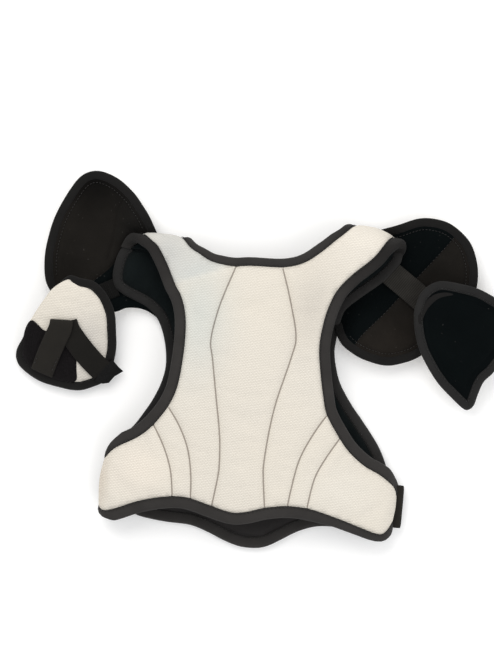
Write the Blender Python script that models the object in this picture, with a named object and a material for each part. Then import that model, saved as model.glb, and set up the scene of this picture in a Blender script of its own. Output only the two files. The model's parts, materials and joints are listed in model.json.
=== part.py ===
"""Youth hockey shoulder pads, lying chest down with the back panel up.

Lengths are in millimetres in the outlines and are turned into metres when a mesh is made.
+X runs across the shoulders, +Y runs from hem to neck, +Z is up, and Z = 0 is the face the
chest panel rests on.  Every soft layer is a plain closed slab; the slabs are stacked with a
small gap, and each panel is edged by its fold-over bindings.
"""
import math

import bmesh
import bpy
from mathutils import Matrix, Vector

MM = 0.001

# Driving dimensions, millimetres.
GAP = 0.3                       # clearance between neighbouring layers and pieces
EDGE_GAP = 0.4                  # clearance between a panel and its binding
PANEL_THICKNESS = 12.0          # cover, foam and lining together
COVER_THICKNESS = 1.5
LINING_THICKNESS = 1.5
PLATE_THICKNESS = 2.5
BINDING_WIDTH = 12.0
RIM_BINDING_WIDTH = 9.0         # tape round the caps and arm guards
HEM_BINDING_WIDTH = 13.0
STRAP_WIDTH = 25.0              # arm elastic
SIDE_STRAP_WIDTH = 46.0         # rib elastic
STRAP_THICKNESS = 2.0

# The shoulder fold: the back panel swings about this line.
FOLD_RADIUS = 22.0              # outside of the fold, and height of its centre
FOLD_INNER_RADIUS = 10.0
FOLD_POINT = Vector((-110.0, 136.0, FOLD_RADIUS))
FOLD_TILT = math.radians(6.0)
FOLD_ALONG = Vector((math.cos(FOLD_TILT), math.sin(FOLD_TILT), 0.0))
FOLD_OUT = Vector((-math.sin(FOLD_TILT), math.cos(FOLD_TILT), 0.0))

BACK_TOP = FOLD_RADIUS * 2.0    # upper face of the back panel at the fold
WING_DROP = 15.0                # how far the wings curve down
WING_START = 60.0
WING_REACH = 110.0

CAP_PIVOT_HEIGHT = 18.0
CAP_LINING_BOTTOM, CAP_FOAM_TOP, CAP_FOAM_BOTTOM, CAP_SHELL_TOP = 1.5, 1.8, 6.2, 6.5
CAP_THICKNESS = 9.0
GUARD_PIVOT_HEIGHT = 28.0
GUARD_THICKNESS = 9.0
GUARD_LAYERS = [(0.0, 1.5), (1.8, 7.2), (7.5, GUARD_THICKNESS)]     # depth of each layer's faces
GUARD_LEFT_RIM = 34.0           # upper face of the left guard along its two long sides
GUARD_LEFT_ARCH = 14.0
GUARD_RIGHT_LOW = 32.5          # upper face at the bottom of the right guard's bowl

# Straps on the arm guards: heights above the surface they lie on.
PATCH_LIFT, PATCH_TOP = 0.8, 2.0
SEWN_STRAP_LIFT = 4.5
FREE_STRAP_LIFT = 7.8
UNDER_PATCH_TOP, UNDER_PATCH_BOTTOM = 0.9, 2.1
UNDER_STRAP_DROP, UNDER_FREE_DROP = 5.5, 10.0
LINK_LIFT = 3.0                 # ribbed elastic above the cap lining

# Strap hinges: where each free strap end starts to lift.
ARM_STRAP_HINGE_LEFT = (-198.0, 47.0, 45.0)
ARM_STRAP_HINGE_RIGHT = (257.0, 58.0, 12.0)
SIDE_STRAP_HINGE_LEFT = (-150.0, -112.0, 12.0)
SIDE_STRAP_HINGE_RIGHT = (177.0, -112.0, 28.0)

PRISM_TOP, PRISM_BOTTOM = 90.0, -20.0   # a cutting prism reaches past every panel
WHOLE = (1000.0, 1000.0)                # cell size that leaves a flat face undivided

CURVE_STEPS = 3                 # spline samples between two outline points


def fold_y(x, out=0.0):
    """Y of the fold centre line at x, moved out past the fold by the given distance."""
    along = (x - FOLD_POINT.x + FOLD_OUT.x * -out) / FOLD_ALONG.x
    return FOLD_POINT.y + along * FOLD_ALONG.y + FOLD_OUT.y * out


# ---------------------------------------------------------------- outlines, back panel
BACK_LEFT_ARMHOLE = [(-104.5, fold_y(-104.5, -0.2)), (-88, 107), (-76, 80), (-72.4, 50), (-76, -3),
                     (-98, -46), (-137, -75), (-148, -90)]
BACK_LEFT_SIDE = [(-148, -90), (-151, -115), (-148, -139)]
BACK_HEM = [(-148, -139), (-141, -143), (-109, -130), (-63, -120), (-28, -127), (0, -131),
            (29, -124), (65, -120), (106, -128), (153, -142), (167, -134)]
BACK_RIGHT_SIDE = [(167, -134), (171, -113), (167, -93), (158, -84)]
BACK_RIGHT_ARMHOLE = [(158, -84), (132, -70), (103, -43), (81, 1), (72, 54), (78.5, 98),
                      (100.5, 134), (127, fold_y(127, -0.2))]
BACK_NECK = [(65, fold_y(65, -0.2)), (47, 141.5), (25, 135), (-9, 133), (-34, 132), (-53, 135),
             (-61, fold_y(-61, -0.2))]

# Stitched seams that part the foam: each runs from the top edge down past the hem.
SEAM_CENTRE_LEFT = [(-18, 160), (-25, 131), (-44, 60), (-32, -18), (-24, -90), (-30, -160)]
SEAM_CENTRE_RIGHT = [(18, 160), (25, 135), (45, 62), (32, -6), (24, -84), (33, -160)]
SEAM_INNER_LEFT = [(-96, -5), (-84, -25), (-62, -60), (-53, -96), (-50, -160)]
SEAM_INNER_RIGHT = [(98, 0), (87, -19), (65, -60), (56, -99), (51, -160)]
SEAM_OUTER_LEFT = [(-114, -25), (-98, -46), (-80, -78), (-70.5, -119), (-69, -160)]
SEAM_OUTER_RIGHT = [(118, -22), (103, -43), (84, -78), (74, -120), (72, -160)]

# ---------------------------------------------------------------- outlines, chest panel
CHEST_LEFT_ARMHOLE = [(-155, fold_y(-155, -0.4)), (-156, 102), (-131, 85), (-104, 62), (-93, 34),
                      (-98, -8), (-118, -47), (-134, -66)]
CHEST_LEFT_SIDE = [(-134, -66), (-125, -84), (-121, -110), (-118, -143)]
CHEST_HEM = [(-118, -143), (-106, -148), (-73, -152), (-40, -155), (10, -169), (45, -162),
             (70, -147), (92, -140), (128, -138)]
CHEST_RIGHT_SIDE = [(128, -138), (131, -110), (134, -85), (141, -66), (150, -56)]
CHEST_RIGHT_ARMHOLE = [(150, -56), (125, -20), (97, 22), (88, 58), (98, 95), (135, 129),
                       (155, fold_y(155, -0.4))]
CHEST_NECK = [(80, fold_y(80, -0.4)), (60, 122), (30, 104), (0, 98), (-30, 102), (-54, 118),
              (-66, fold_y(-66, -0.4))]
STERNUM_LEFT = [(-38, 130), (-40, 40), (-34, -60), (-30, -180)]
STERNUM_RIGHT = [(42, 130), (42, 40), (36, -60), (34, -180)]
CHEST_PATCH_LEFT = [(-108, -76), (-84, -76), (-80, -122), (-102, -124)]
CHEST_PATCH_RIGHT = [(84, -76), (110, -76), (108, -122), (84, -122)]

# ---------------------------------------------------------------- outlines, caps and guards
CAP_LEFT = [(-127, 177), (-133, 190), (-147, 204), (-165, 216), (-183, 221), (-200, 215), (-215, 195), (-227, 168),
            (-232, 132), (-229, 98), (-219, 82), (-195, 78), (-176, 84), (-168, 104), (-166, 128),
            (-160, 149), (-148, 161), (-134, 167)]
CAP_LEFT_AXIS = ((-128.0, 166.0), (-166.0, 100.0))
CAP_LEFT_CENTRE = (-190.0, 145.0)
CAP_RIGHT = [(152, 187), (158, 196), (171, 202), (187, 203), (207, 197), (224, 182), (234, 160), (236, 133), (222, 100),
             (204, 72), (183, 54), (164, 44), (146, 40), (124, 44), (104, 56), (98, 72), (104, 90),
             (122, 108), (142, 126), (156, 144), (160, 160), (156, 174)]
CAP_RIGHT_AXIS = ((97.0, 82.0), (160.0, 168.0))
CAP_RIGHT_CENTRE = (172.0, 115.0)
GUARD_LEFT = [(-206, 105), (-174, 101), (-158, 87), (-149, 60), (-147, 28), (-152, -2), (-173, -15),
              (-205, -16.5), (-230, -10), (-250, 3), (-255, 18), (-249, 36), (-237, 62), (-221, 90)]
GUARD_LEFT_AXIS = ((-222.0, 108.0), (-158.0, 108.0))
GUARD_RIGHT = [(171, 104), (176, 122), (186, 132), (204, 136), (238, 131), (268, 118), (284, 101),
               (285, 82), (275, 60), (255, 34), (246, 17), (242, 4), (235, 0.5), (220, 11), (200, 30),
               (183, 54), (173, 78)]
GUARD_RIGHT_AXIS = ((165.0, 101.0), (180.0, 134.0))
GUARD_RIGHT_CENTRE = (228.0, 84.0)
LOOP_PATCH_LEFT = [(-238, 46), (-224, 43), (-208, 42), (-194, 36), (-188, 9), (-189, -4), (-206, -4),
                   (-226, 1), (-239, 10), (-241, 22)]
LOOP_PATCH_RIGHT = [(244, 60), (262, 58), (272, 80), (268, 100), (250, 104), (242, 84)]

MATERIALS = {
    "mesh_fabric": ((0.82, 0.80, 0.75), 0.9, 0.0),
    "foam": ((0.55, 0.55, 0.56), 0.95, 0.0),
    "lining": ((0.015, 0.02, 0.022), 0.9, 0.0),
    "brushed_lining": ((0.045, 0.04, 0.035), 0.95, 0.0),
    "binding": ((0.05, 0.048, 0.046), 0.8, 0.0),
    "elastic": ((0.07, 0.068, 0.06), 0.85, 0.0),
    "loop": ((0.02, 0.018, 0.02), 0.98, 0.0),
    "hook": ((0.03, 0.03, 0.03), 0.7, 0.0),
    "plate": ((0.6, 0.62, 0.63), 0.45, 0.0),
}


# ---------------------------------------------------------------- curves
def spline_point(before, start, end, after, t):
    """Catmull-Rom point between start and end."""
    result = []
    for a, b, c, d in zip(before, start, end, after):
        result.append(0.5 * (2 * b + (c - a) * t + (2 * a - 5 * b + 4 * c - d) * t * t
                             + (3 * b - a - 3 * c + d) * t ** 3))
    return tuple(result)


def open_curve(points, steps=CURVE_STEPS):
    """Smooth samples from the first point to the last."""
    padded = [points[0]] + list(points) + [points[-1]]
    samples = []
    for i in range(len(points) - 1):
        for k in range(steps):
            samples.append(spline_point(*padded[i:i + 4], k / steps))
    samples.append(tuple(points[-1]))
    return samples


def closed_curve(points, steps=CURVE_STEPS):
    """Smooth samples round a closed outline."""
    count = len(points)
    samples = []
    for i in range(count):
        four = [points[(i + k) % count] for k in (-1, 0, 1, 2)]
        for k in range(steps):
            samples.append(spline_point(*four, k / steps))
    return samples


def offset_curve(points, distance, closed=False):
    """The curve moved sideways; a positive distance moves it to the right of its direction."""
    count = len(points)
    moved = []
    for i, (x, y) in enumerate(points):
        before = points[(i - 1) % count] if closed or i > 0 else points[i]
        after = points[(i + 1) % count] if closed or i < count - 1 else points[i]
        direction = Vector((after[0] - before[0], after[1] - before[1])).normalized()
        moved.append((x + direction.y * distance, y - direction.x * distance))
    return moved


def distance_to_outline(point, outline):
    """Shortest distance from a plan point to a closed outline."""
    nearest = math.inf
    for i, start in enumerate(outline):
        begin = Vector(start)
        run = Vector(outline[(i + 1) % len(outline)]) - begin
        along = (Vector(point) - begin).dot(run) / max(run.length_squared, 1e-12)
        foot = begin + run * min(1.0, max(0.0, along))
        nearest = min(nearest, (Vector(point) - foot).length)
    return nearest


def inset_curve(outline, distance):
    """A closed outline moved inward, without the loops that form in its tight corners."""
    turn = 1.0 if signed_area(outline) > 0 else -1.0
    moved = offset_curve(outline, -turn * distance, True)
    return [point for point in moved if distance_to_outline(point, outline) > distance - 0.5]


def behind_fold(points):
    """The same points, with any that lie past the shoulder fold line moved back to it."""
    return [(x, min(y, fold_y(x, -EDGE_GAP))) for x, y in points]


def joined(*edges):
    """One closed outline from edges that follow each other, without doubled corners."""
    outline = []
    for edge in edges:
        for point in edge:
            if not outline or (Vector(point) - Vector(outline[-1])).length > 0.05:
                outline.append(point)
    return outline


# ---------------------------------------------------------------- heights
def back_height(x, y):
    """Upper face of the back panel: flat over the spine, with the wings curving down."""
    reach = max(0.0, abs(x) - WING_START) / WING_REACH
    low = min(1.0, max(0.0, (fold_y(x) - 40.0 - y) / 120.0))
    return BACK_TOP - WING_DROP * low * min(1.0, reach) ** 1.6


def distance_to_axis(x, y, axis):
    """Distance of a point from an axis line drawn in plan."""
    (x0, y0), (x1, y1) = axis
    run = Vector((x1 - x0, y1 - y0)).normalized()
    return abs((x - x0) * run.y - (y - y0) * run.x)


def cap_height(centre, axis):
    """A shallow bowl whose rim stays low beside the cap's hinge line."""
    def height(x, y):
        radial = math.hypot((x - centre[0]) / 55.0, (y - centre[1]) / 85.0)
        rise = min(1.0, distance_to_axis(x, y, axis) / 60.0)
        return CAP_PIVOT_HEIGHT - 5.0 + 5.0 * min(1.6, radial * radial) * rise
    return height


def guard_left_height(x, y):
    """An arch over the arm that leans down, steeper and steeper, towards its lower end."""
    across = (x + 200.0) / 55.0
    below = 100.0 - y
    return GUARD_LEFT_RIM + GUARD_LEFT_ARCH * (1.0 - across * across) - 0.12 * below - 0.0015 * below * below


def guard_right_height(x, y):
    """A shallow bowl, inner side up, that droops past the edge of the cap it rests on."""
    across = math.hypot(x - GUARD_RIGHT_CENTRE[0], y - GUARD_RIGHT_CENTRE[1]) / 60.0
    droop = 0.0062 * max(0.0, x - 225.0) ** 2 + 0.006 * max(0.0, 60.0 - y) ** 2
    return GUARD_RIGHT_LOW + 12.0 * (1.0 - math.exp(-across * across)) - droop


def flat_at(level):
    return lambda _x, _y: level


def lowered(height, depth):
    return lambda x, y: height(x, y) - depth


# ---------------------------------------------------------------- scene set-up
def clear_scene():
    for item in list(bpy.data.objects):
        bpy.data.objects.remove(item, do_unlink=True)


def make_material(name):
    colour, roughness, metallic = MATERIALS[name]
    material = bpy.data.materials.new(name)
    material.use_nodes = True
    shader = material.node_tree.nodes["Principled BSDF"]
    shader.inputs["Base Color"].default_value = (*colour, 1.0)
    shader.inputs["Roughness"].default_value = roughness
    shader.inputs["Metallic"].default_value = metallic
    return material


PIVOTS = {}


def make_pivot(name, x, y, z, parent=None):
    """An empty on a joint's axis; everything that moves with the joint hangs from it."""
    empty = bpy.data.objects.new(name, None)
    bpy.context.collection.objects.link(empty)
    place = Vector((x, y, z)) * MM
    PIVOTS[name] = place
    if parent:
        empty.parent = bpy.data.objects[parent]
        place = place - PIVOTS[parent]
    empty.location = place
    return empty


def add_piece(name, mesh, material, pivot=None):
    """Link a mesh made in world millimetres as a named piece, hung from its joint's pivot."""
    mesh.transform(Matrix.Scale(MM, 4))
    piece = bpy.data.objects.new(name, mesh)
    bpy.context.collection.objects.link(piece)
    mesh.materials.append(bpy.data.materials[material])
    if pivot:
        mesh.transform(Matrix.Translation(-PIVOTS[pivot]))
        piece.parent = bpy.data.objects[pivot]
    return piece


# ---------------------------------------------------------------- solids
def slab_mesh(name, outline, top, bottom, cells=(24.0, 24.0)):
    """A closed slab with the given outline, between two height functions."""
    shape = bmesh.new()
    corners = [shape.verts.new((x, y, 0.0)) for x, y in outline]
    face = shape.faces.new(corners)
    if face.normal.z < 0 or signed_area(outline) < 0:
        face.normal_flip()
    for axis in (0, 1):
        normal = Vector((1, 0, 0)) if axis == 0 else Vector((0, 1, 0))
        low = min(point[axis] for point in outline)
        high = max(point[axis] for point in outline)
        line = math.ceil(low / cells[axis]) * cells[axis] + 0.13
        while line < high:
            geometry = shape.verts[:] + shape.edges[:] + shape.faces[:]
            bmesh.ops.bisect_plane(shape, geom=geometry, plane_co=normal * line, plane_no=normal,
                                   dist=0.05)
            line += cells[axis]
    bmesh.ops.triangulate(shape, faces=shape.faces[:], ngon_method="BEAUTY")
    upper = list(shape.faces)
    made = bmesh.ops.extrude_face_region(shape, geom=upper)
    raised = [item for item in made["geom"] if isinstance(item, bmesh.types.BMVert)]
    raised_set = set(raised)
    for vert in shape.verts:
        level = top if vert in raised_set else bottom
        vert.co.z = level(vert.co.x, vert.co.y)
    bmesh.ops.triangulate(shape, faces=shape.faces[:])
    bmesh.ops.recalc_face_normals(shape, faces=shape.faces[:])
    mesh = bpy.data.meshes.new(name)
    shape.to_mesh(mesh)
    shape.free()
    return mesh


def signed_area(outline):
    total = 0.0
    for i, (x0, y0) in enumerate(outline):
        x1, y1 = outline[(i + 1) % len(outline)]
        total += x0 * y1 - x1 * y0
    return total / 2.0


def band_mesh(name, inner, outer, top, bottom, closed):
    """A flat-sided band between two plan curves that have the same number of points."""
    shape = bmesh.new()
    rings = []
    for near, far in zip(inner, outer):
        corners = [(near, bottom), (far, bottom), (far, top), (near, top)]
        rings.append([shape.verts.new((x, y, level(x, y))) for (x, y), level in corners])
    following = rings[1:] + rings[:1] if closed else rings[1:]
    for first, second in zip(rings, following):
        for k in range(4):
            shape.faces.new((first[k], first[(k + 1) % 4], second[(k + 1) % 4], second[k]))
    if not closed:
        shape.faces.new(rings[0])
        shape.faces.new(list(reversed(rings[-1])))
    bmesh.ops.recalc_face_normals(shape, faces=shape.faces[:])
    bmesh.ops.triangulate(shape, faces=shape.faces[:])
    mesh = bpy.data.meshes.new(name)
    shape.to_mesh(mesh)
    shape.free()
    return mesh


def ribbon_mesh(name, centre_line, side, width, thickness):
    """A flat strap swept along a line of (x, y, z) points; side points across its width."""
    shape = bmesh.new()
    rings = []
    count = len(centre_line)
    for i, point in enumerate(centre_line):
        before = Vector(centre_line[max(0, i - 1)])
        after = Vector(centre_line[min(count - 1, i + 1)])
        along = (after - before).normalized()
        across = Vector(side[i] if isinstance(side, list) else side)
        across = (across - along * across.dot(along)).normalized()
        lift = across.cross(along).normalized()
        half = across * (width / 2)
        thick = lift * (thickness / 2)
        centre = Vector(point)
        rings.append([shape.verts.new(centre + a + b) for a, b in
                      ((-half, -thick), (half, -thick), (half, thick), (-half, thick))])
    for first, second in zip(rings, rings[1:]):
        for k in range(4):
            shape.faces.new((first[k], first[(k + 1) % 4], second[(k + 1) % 4], second[k]))
    shape.faces.new(rings[0])
    shape.faces.new(list(reversed(rings[-1])))
    bmesh.ops.recalc_face_normals(shape, faces=shape.faces[:])
    mesh = bpy.data.meshes.new(name)
    shape.to_mesh(mesh)
    shape.free()
    return mesh


def fold_arc_mesh(name, left, right, inner, outer, start, end, steps=8):
    """Part of a tube round the fold line, from one X to another and between two angles."""
    shape = bmesh.new()
    rings = []
    for k in range(steps + 1):
        angle = math.radians(start + (end - start) * k / steps)
        ring = []
        for x, radius in ((left, inner), (right, inner), (right, outer), (left, outer)):
            along = (x - FOLD_POINT.x) / FOLD_ALONG.x
            point = FOLD_POINT + FOLD_ALONG * along + FOLD_OUT * (radius * math.cos(angle))
            point.z += radius * math.sin(angle)
            ring.append(shape.verts.new(point))
        rings.append(ring)
    for first, second in zip(rings, rings[1:]):
        for k in range(4):
            shape.faces.new((first[k], first[(k + 1) % 4], second[(k + 1) % 4], second[k]))
    shape.faces.new(rings[0])
    shape.faces.new(list(reversed(rings[-1])))
    bmesh.ops.recalc_face_normals(shape, faces=shape.faces[:])
    mesh = bpy.data.meshes.new(name)
    shape.to_mesh(mesh)
    shape.free()
    return mesh


def keep_region(piece, region, operation="INTERSECT"):
    """Cut a piece with an upright prism over a plan region."""
    mesh = slab_mesh(piece.name + "_region", region, flat_at(PRISM_TOP), flat_at(PRISM_BOTTOM), WHOLE)
    mesh.transform(Matrix.Scale(MM, 4))
    cutter = bpy.data.objects.new(piece.name + "_cutter", mesh)
    bpy.context.collection.objects.link(cutter)
    cutter.display_type = "WIRE"
    cutter.hide_render = True
    cut = piece.modifiers.new("region", "BOOLEAN")
    cut.operation = operation
    cut.solver = "EXACT"
    cut.object = cutter


# ---------------------------------------------------------------- back panel
def back_region(name):
    """Plan region between two stitched seams of the back panel."""
    half = GAP
    inner_l = offset_x(open_curve(SEAM_INNER_LEFT), half)
    inner_r = offset_x(open_curve(SEAM_INNER_RIGHT), -half)
    centre_l = open_curve(SEAM_CENTRE_LEFT)
    centre_r = open_curve(SEAM_CENTRE_RIGHT)
    outer_l = open_curve(SEAM_OUTER_LEFT)
    outer_r = open_curve(SEAM_OUTER_RIGHT)
    if name == "spine":
        return offset_x(centre_l, half) + list(reversed(offset_x(centre_r, -half)))
    if name == "left_side":
        return offset_x(centre_l, -half) + list(reversed(inner_l)) + [(-200, -5), (-200, 200), (-30, 200)]
    if name == "right_side":
        return offset_x(centre_r, half) + list(reversed(inner_r)) + [(200, 0), (200, 220), (30, 220)]
    if name == "left_gusset":
        return offset_x(outer_l, half) + list(reversed(offset_x(inner_l, -2 * half)))
    if name == "right_gusset":
        return offset_x(outer_r, -half) + list(reversed(offset_x(inner_r, 2 * half)))
    if name == "left_wing":
        return offset_x(outer_l, -half) + [(-200, -160), (-200, -25)]
    return offset_x(outer_r, half) + [(220, -160), (220, -22)]


def offset_x(points, distance):
    return [(x + distance, y) for x, y in points]


def build_back():
    edges = {
        "left_armhole": open_curve(BACK_LEFT_ARMHOLE),
        "left_side": open_curve(BACK_LEFT_SIDE),
        "hem": open_curve(BACK_HEM),
        "right_side": open_curve(BACK_RIGHT_SIDE),
        "right_armhole": open_curve(BACK_RIGHT_ARMHOLE),
        "neck": open_curve(BACK_NECK),
    }
    outline = joined(behind_fold(joined(*edges.values())))
    cells = (30.0, 60.0)
    cover_bottom = lowered(back_height, COVER_THICKNESS)
    foam_top = lowered(back_height, COVER_THICKNESS + GAP)
    foam_bottom = lowered(back_height, PANEL_THICKNESS - LINING_THICKNESS - GAP)
    lining_top = lowered(back_height, PANEL_THICKNESS - LINING_THICKNESS)
    bottom = lowered(back_height, PANEL_THICKNESS)
    plate_bottom = lowered(foam_top, PLATE_THICKNESS)
    layers = [("back_cover", back_height, cover_bottom, "mesh_fabric"),
              ("back_lining", lining_top, bottom, "lining")]
    for name, top, base, material in layers:
        add_piece(name, slab_mesh(name, outline, top, base, cells), material, "back_pivot")
    plate = add_piece("spine_plate", slab_mesh("spine_plate", outline, foam_top, plate_bottom, cells),
                      "plate", "back_pivot")
    keep_region(plate, back_region("spine"))
    for region in ("spine", "left_side", "right_side", "left_gusset", "right_gusset", "left_wing",
                   "right_wing"):
        name = "back_foam_" + region
        top = lowered(plate_bottom, GAP) if region == "spine" else foam_top
        foam = add_piece(name, slab_mesh(name, outline, top, foam_bottom, cells), "foam", "back_pivot")
        keep_region(foam, back_region(region))
    bands = [("binding_back_neck", "neck", BINDING_WIDTH - 2),
             ("binding_back_left_armhole", "left_armhole", BINDING_WIDTH),
             ("binding_back_right_armhole", "right_armhole", BINDING_WIDTH),
             ("binding_back_hem", "hem", HEM_BINDING_WIDTH)]
    for name, edge, width in bands:
        add_binding(name, edges[edge], width, back_height, bottom, "back_pivot")


def add_binding(name, edge, width, top, bottom, pivot, closed=False):
    """A fold-over tape beside a panel edge, kept just clear of it."""
    trimmed = edge if closed else edge[1:-1]
    inner = offset_curve(trimmed, math.copysign(EDGE_GAP, width), closed)
    outer = offset_curve(trimmed, width, closed)
    if not closed:
        inner = behind_fold(inner)
        outer = behind_fold(outer)
    add_piece(name, band_mesh(name, inner, outer, top, bottom, closed), "binding", pivot)


# ---------------------------------------------------------------- chest panel
def build_chest():
    outer_edges = {
        "left_armhole": open_curve(CHEST_LEFT_ARMHOLE),
        "left_side": open_curve(CHEST_LEFT_SIDE),
        "hem": open_curve(CHEST_HEM),
        "right_side": open_curve(CHEST_RIGHT_SIDE),
        "right_armhole": open_curve(CHEST_RIGHT_ARMHOLE),
        "neck": open_curve(CHEST_NECK),
    }
    inset = -(BINDING_WIDTH + EDGE_GAP)
    inner = {}
    for name, edge in outer_edges.items():
        inner[name] = edge if name.endswith("side") else offset_curve(edge, inset)
    inner["left_side"] = [(x + 2.0, y) for x, y in inner["left_side"][2:-2]]
    inner["right_side"] = [(x - 2.0, y) for x, y in inner["right_side"][2:-3]]
    inner["hem"] = inner["hem"][2:-2]
    inner["left_armhole"] = inner["left_armhole"][:-1]
    inner["right_armhole"] = inner["right_armhole"][1:]
    outline = joined(behind_fold(joined(*inner.values())))
    cover = add_piece("chest_cover", slab_mesh("chest_cover", outline, flat_at(COVER_THICKNESS),
                                               flat_at(0.0), WHOLE), "mesh_fabric")
    for name, patch in (("side_loop_patch_left", CHEST_PATCH_LEFT), ("side_loop_patch_right", CHEST_PATCH_RIGHT)):
        turn = 1.0 if signed_area(patch) > 0 else -1.0
        keep_region(cover, offset_curve(patch, turn * 1.0, True), "DIFFERENCE")
        add_piece(name, slab_mesh(name, patch, flat_at(COVER_THICKNESS), flat_at(0.0), WHOLE), "loop")
    foam_base = COVER_THICKNESS + GAP
    foam_top = PANEL_THICKNESS - LINING_THICKNESS - GAP
    plate_top = foam_base + PLATE_THICKNESS
    left = open_curve(STERNUM_LEFT)
    right = open_curve(STERNUM_RIGHT)
    centre = offset_x(left, GAP) + list(reversed(offset_x(right, -GAP)))
    left_of_plate = offset_x(left, -GAP) + [(-200, -180), (-200, 220), (left[0][0] - GAP, 220)]
    right_of_plate = offset_x(right, GAP) + [(200, -180), (200, 220), (right[0][0] + GAP, 220)]
    parts = [("sternum_plate", foam_base, plate_top, "plate", centre),
             ("chest_foam_centre", plate_top + GAP, foam_top, "foam", centre),
             ("chest_foam_left", foam_base, foam_top, "foam", left_of_plate),
             ("chest_foam_right", foam_base, foam_top, "foam", right_of_plate)]
    for name, low, high, material, region in parts:
        piece = add_piece(name, slab_mesh(name, outline, flat_at(high), flat_at(low), WHOLE), material)
        keep_region(piece, region)
    add_piece("chest_lining", slab_mesh("chest_lining", outline, flat_at(PANEL_THICKNESS),
                                        flat_at(PANEL_THICKNESS - LINING_THICKNESS), WHOLE), "lining")
    for edge in ("left_armhole", "right_armhole", "hem", "neck"):
        name = "binding_chest_" + edge
        trimmed = outer_edges[edge][1:-1]
        inside = behind_fold(offset_curve(trimmed, -BINDING_WIDTH))
        add_piece(name, band_mesh(name, inside, trimmed, flat_at(PANEL_THICKNESS), flat_at(0.0),
                                  False), "binding")


def build_shoulder_folds():
    """The lower half of each shoulder fold, and the webbing that carries the fold inside it."""
    for side, left, right in (("left", -150.0, -70.0), ("right", 82.0, 152.0)):
        add_piece("shoulder_yoke_" + side,
                  fold_arc_mesh("yoke", left, right, FOLD_INNER_RADIUS + GAP, FOLD_RADIUS, -88.0, -4.0),
                  "mesh_fabric")
        add_piece("shoulder_webbing_" + side,
                  fold_arc_mesh("webbing", left + 12, right - 12, FOLD_INNER_RADIUS - 4.0,
                                FOLD_INNER_RADIUS - 2 * GAP, -80.0, 80.0), "elastic")


# ---------------------------------------------------------------- caps
def build_cap(side, outline_points, centre, axis):
    pivot = "cap_pivot_" + side
    outline = closed_curve(outline_points)
    turn = 1.0 if signed_area(outline) > 0 else -1.0
    inner = inset_curve(outline, RIM_BINDING_WIDTH)
    height = cap_height(centre, axis)
    bottom = lowered(height, CAP_THICKNESS)
    cells = (28.0, 28.0)
    layers = [("cap_lining_" + side, height, lowered(height, CAP_LINING_BOTTOM), "brushed_lining"),
              ("cap_foam_" + side, lowered(height, CAP_FOAM_TOP), lowered(height, CAP_FOAM_BOTTOM), "foam"),
              ("cap_shell_" + side, lowered(height, CAP_SHELL_TOP), bottom, "plate")]
    for name, top, base, material in layers:
        add_piece(name, slab_mesh(name, inner, top, base, cells), material, pivot)
    add_binding("binding_cap_" + side, inner, turn * RIM_BINDING_WIDTH, height, bottom, pivot, closed=True)


# ---------------------------------------------------------------- arm guards
def build_guard(side, outline_points, height, outer_side_up, cells):
    pivot = "guard_pivot_" + side
    outline = closed_curve(outline_points)
    turn = 1.0 if signed_area(outline) > 0 else -1.0
    inner = inset_curve(outline, RIM_BINDING_WIDTH)
    bottom = lowered(height, GUARD_THICKNESS)
    names = ["guard_cover_" + side, "guard_foam_" + side, "guard_lining_" + side]
    materials = ["mesh_fabric", "foam", "lining"]
    if not outer_side_up:
        names.reverse()
        materials.reverse()
    for name, material, (high, low) in zip(names, materials, GUARD_LAYERS):
        add_piece(name, slab_mesh(name, inner, lowered(height, high), lowered(height, low), cells),
                  material, pivot)
    add_binding("binding_guard_" + side, inner, turn * RIM_BINDING_WIDTH, height, bottom, pivot, closed=True)


def surface_line(points, height, lift, steps=5):
    """Samples of a plan curve laid on a height function, lifted off it."""
    return [(x, y, height(x, y) + lift) for x, y in open_curve(points, steps)]


def lying_strap(name, points, height, lift, direction, width):
    """A strap that lies on a height function, with its width along a plan direction."""
    line = surface_line(points, height, lift)
    dx, dy = direction[0] * width / 2, direction[1] * width / 2
    sides = [(2 * dx, 2 * dy, height(x + dx, y + dy) - height(x - dx, y - dy)) for x, y, _ in line]
    return ribbon_mesh(name, line, sides, width, STRAP_THICKNESS)


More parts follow.
